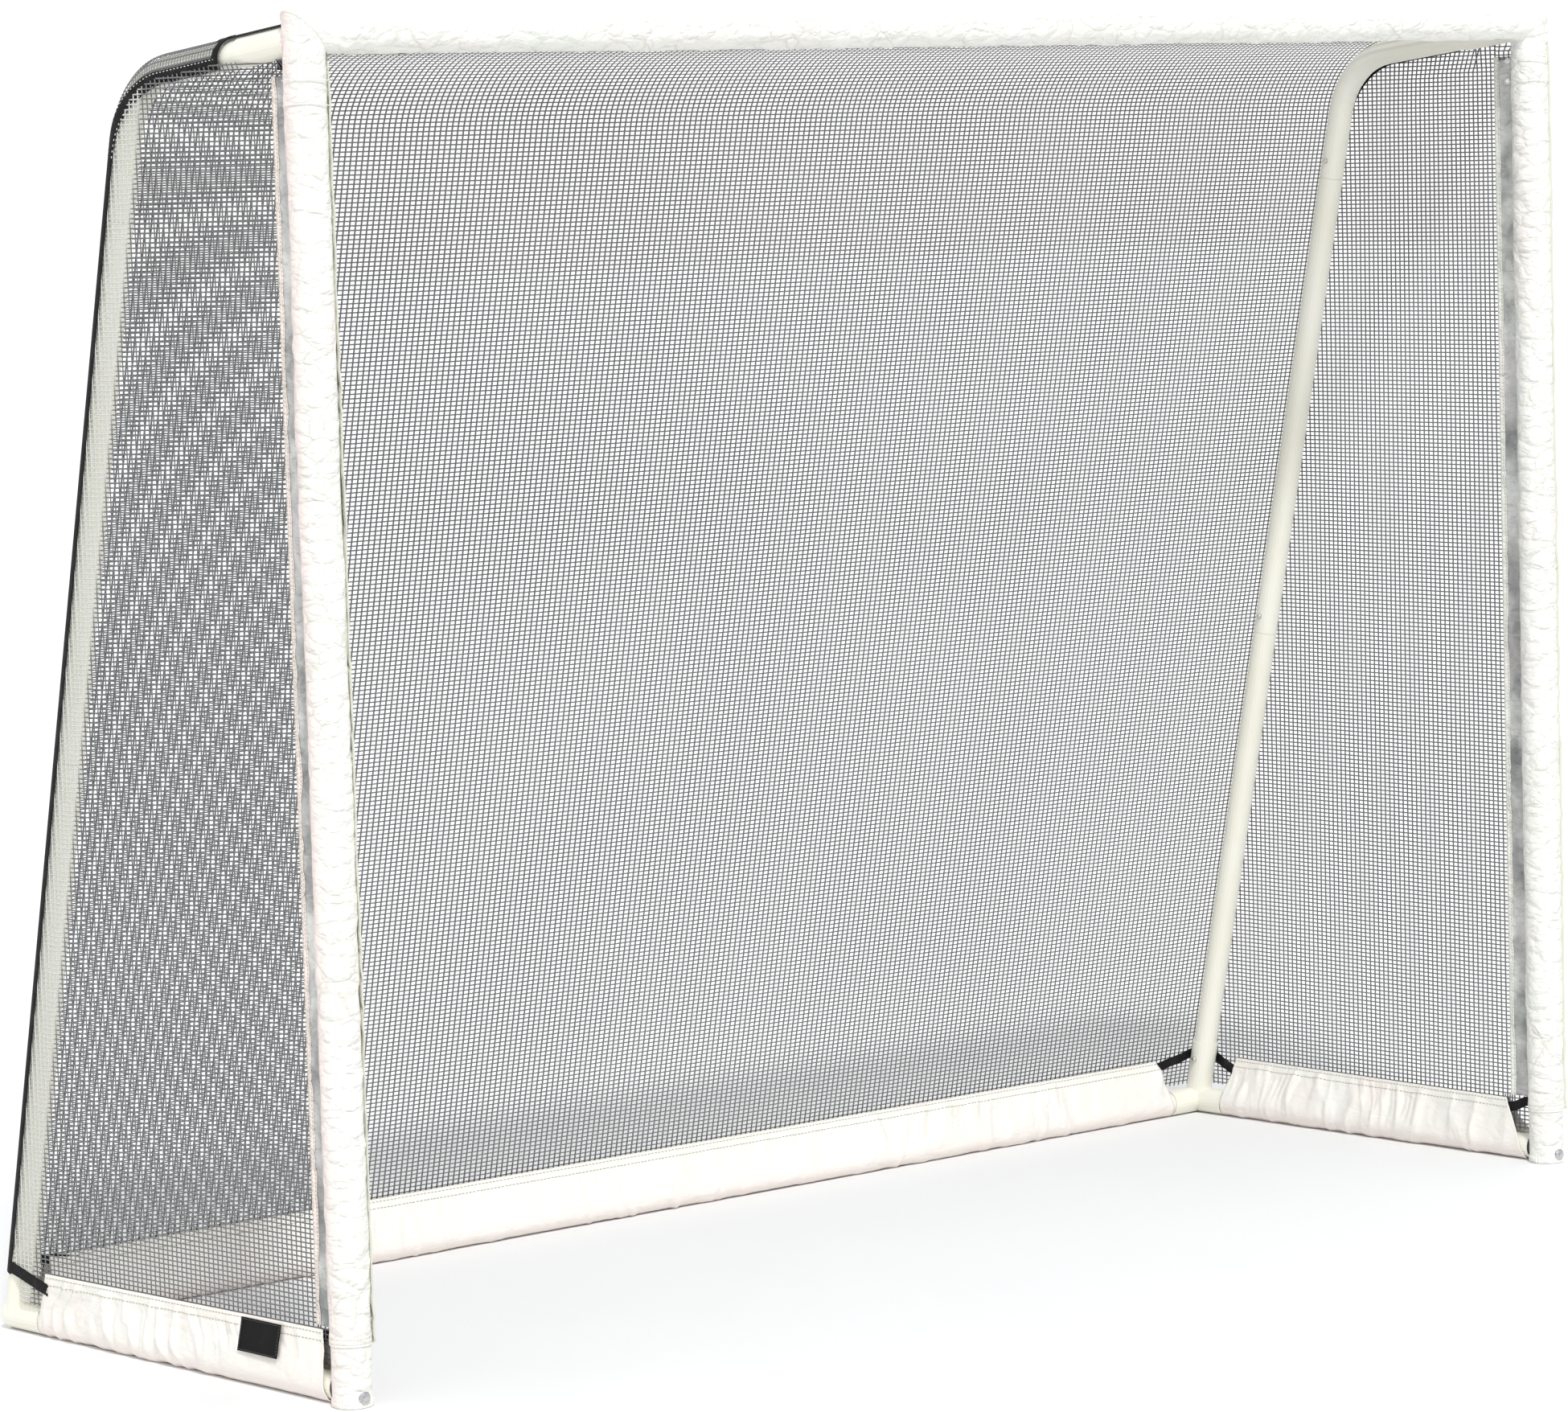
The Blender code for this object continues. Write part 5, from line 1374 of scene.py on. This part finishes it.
def label_patch():
    """Blank woven label, sewn on over the left skirt's hem."""
    low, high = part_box("label_patch")
    # The node's box leans with the skirt: its outer face is further out at the bottom
    lean = (high.x - low.x) - 0.0012

    def surface(y, z):
        """Distance out to the left, and the shares of the label's length and height."""
        share_y, share_z = (y - low.y) / (high.y - low.y), (z - low.z) / (high.z - low.z)
        out = -high.x + 0.0006 + lean * (1 - share_z) * 0.98
        out = out + 0.0007 * np.sin(share_y * 5.0 + 1.0) * np.sin(share_z * 2.2 + 0.6) + 0.0012
        return out, share_y, share_z

    y = np.linspace(low.y, high.y, 36)[None, :]
    z = np.linspace(low.z, high.z, 20)[:, None]
    out, share_y, share_z = surface(y, z)
    border = np.minimum(np.minimum(share_y, 1 - share_y) * 2, np.minimum(share_z, 1 - share_z))
    out = out + 0.0005 * (1 - fade(border, 0.05, 0.09))
    label = cloth_piece("label_patch_woven", spread(-out, y, z), spread(y, z), LABEL,
                        ["label_patch"], thickness=0.0009)
    inset = 0.0022
    rim_y = low.y + inset, high.y - inset
    rim_z = low.z + inset, high.z - inset
    rim = even([(rim_y[j], rim_z[k]) for j, k in ((0, 0), (1, 0), (1, 1), (0, 1), (0, 0))], 120)
    line = spread(-surface(*rim.T)[0] - 0.0011, *rim.T)
    thread = stitching("label_stitches",
                       [(line, np.broadcast_to((-1.0, 0.0, 0.0), line.shape))], DARK_THREAD,
                       "black_label")


def net_tie(side):
    """Two cord loops round the post sleeve, each closed by a toggle with a knot through it."""
    place = SIDE_NAMES[side]
    toggle_angle = math.radians(115 if side > 0 else 65)
    loop_r = SLEEVE_R + 0.0015
    turn = circle(96)
    parts = []
    spot = np.array((math.cos(toggle_angle), math.sin(toggle_angle), 0.0))
    for number, height in enumerate(TIE_Z):
        rise = height + 0.0012 * np.sin(turn * 2 + number)
        loop = spread(side * POST_X + loop_r * np.cos(turn), POST_Y + loop_r * np.sin(turn),
                      rise)
        outward = spread(np.cos(turn), np.sin(turn), turn * 0)
        parts.append(sweep(loop[None], outward[None], round_section(TIE_CORD_R), closed=True))
        # Ball that holds the loop closed
        share = np.linspace(-1, 1, 15)
        tangent = np.array((-spot[1], spot[0], 0.0))
        centre = np.array((side * POST_X, POST_Y, height)) + spot * (loop_r + 0.0040)
        run = centre + tangent * share[:, None] * 0.0050
        shape = 0.0044 * np.sqrt(np.clip(1 - share ** 2, 0, 1)) + 0.0003
        parts.append(sweep(run[None], np.broadcast_to((0.0, 0.0, 1.0), (1, 15, 3)),
                           round_section(1.0, 16), scale=shape))
        # Knot under the ball
        parts.append(sweep((centre + spot * share[:, None] * 0.0062)[None],
                           np.broadcast_to((0.0, 0.0, 1.0), (1, 15, 3)), round_section(1.0, 10),
                           scale=0.0014 + 0.0005 * np.cos(share * 9)))
    cord_piece(f"net_tie_{place}_cord", parts, WHITE_PLASTIC,
               [f"net_tie_{place}"])


def foot_boot(side):
    """Fabric boot on the post's foot: smooth, then gathered into a rim on the floor."""
    place = SIDE_NAMES[side]
    turn = circle(180)
    heights = np.concatenate((np.linspace(SLEEVE_HEM_Z + 0.006, 0.016, 18),
                              (0.0135, 0.0115, 0.0095, 0.0070, 0.0045, 0.0022, 0.0006)))
    rows = []
    for height in heights:
        gather = 1 - fade(height, 0.010, 0.0135)
        low_end = 1 - fade(height, 0.0006, 0.0030)
        radius = (POST_R + 0.0015 + 0.0003 * noise(turn * 1.4, height / 0.02, 150 + side)
                  + gather * (0.0008 + 0.0007 * np.sin(turn * 34 + np.sin(turn * 5)))
                  - 0.0010 * low_end - 0.0007 * hump(height, 0.0125, 0.0010))
        rows.append(spread(side * POST_X + radius * np.cos(turn),
                           POST_Y + radius * np.sin(turn), height))
    rows = np.array(rows)
    flat = spread(turn * SLEEVE_R, heights[:, None])
    mesh = make_mesh(f"foot_boot_{place}", rows.reshape(-1, 3),
                     grid_quads(len(heights), len(turn), wrap=True, flip=True),
                     flat.reshape(-1, 2))
    boot = add_piece(mesh.name, mesh, SLEEVE)


# ---- snap springs --------------------------------------------------------------------------

def snap_spring_leaves(joint, side):
    """A copy of the V spring in an upright, in place of its CAD node; in the real spring the
    front leaf gives way when its button is pressed.
    """
    node_name = f"snap_spring_{joint}_{SIDE_NAMES[side]}"
    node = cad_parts[node_name]
    leaves = new_object(f"{node_name}_leaves", node.data.copy())
    leaves.matrix_world = node.matrix_world
    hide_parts(node_name)
    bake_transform(leaves)


# ---- everything ----------------------------------------------------------------------------

make_camera()
make_studio()
finish_cad_nodes()
net_back()
net_top()
crossbar_sleeve()
skirt_back()
label_patch()
for side in SIDE_NAMES:
    net_side(side)
    post_sleeve(side)
    net_hem(side)
    skirt_side(side)
    seam_webbing(side)
    top_bands(side)
    foot_boot(side)
    rear_strap(side)
    front_strap(side)
    net_tie(side)
    for joint in ("upper", "middle", "lower"):
        snap_spring_leaves(joint, side)
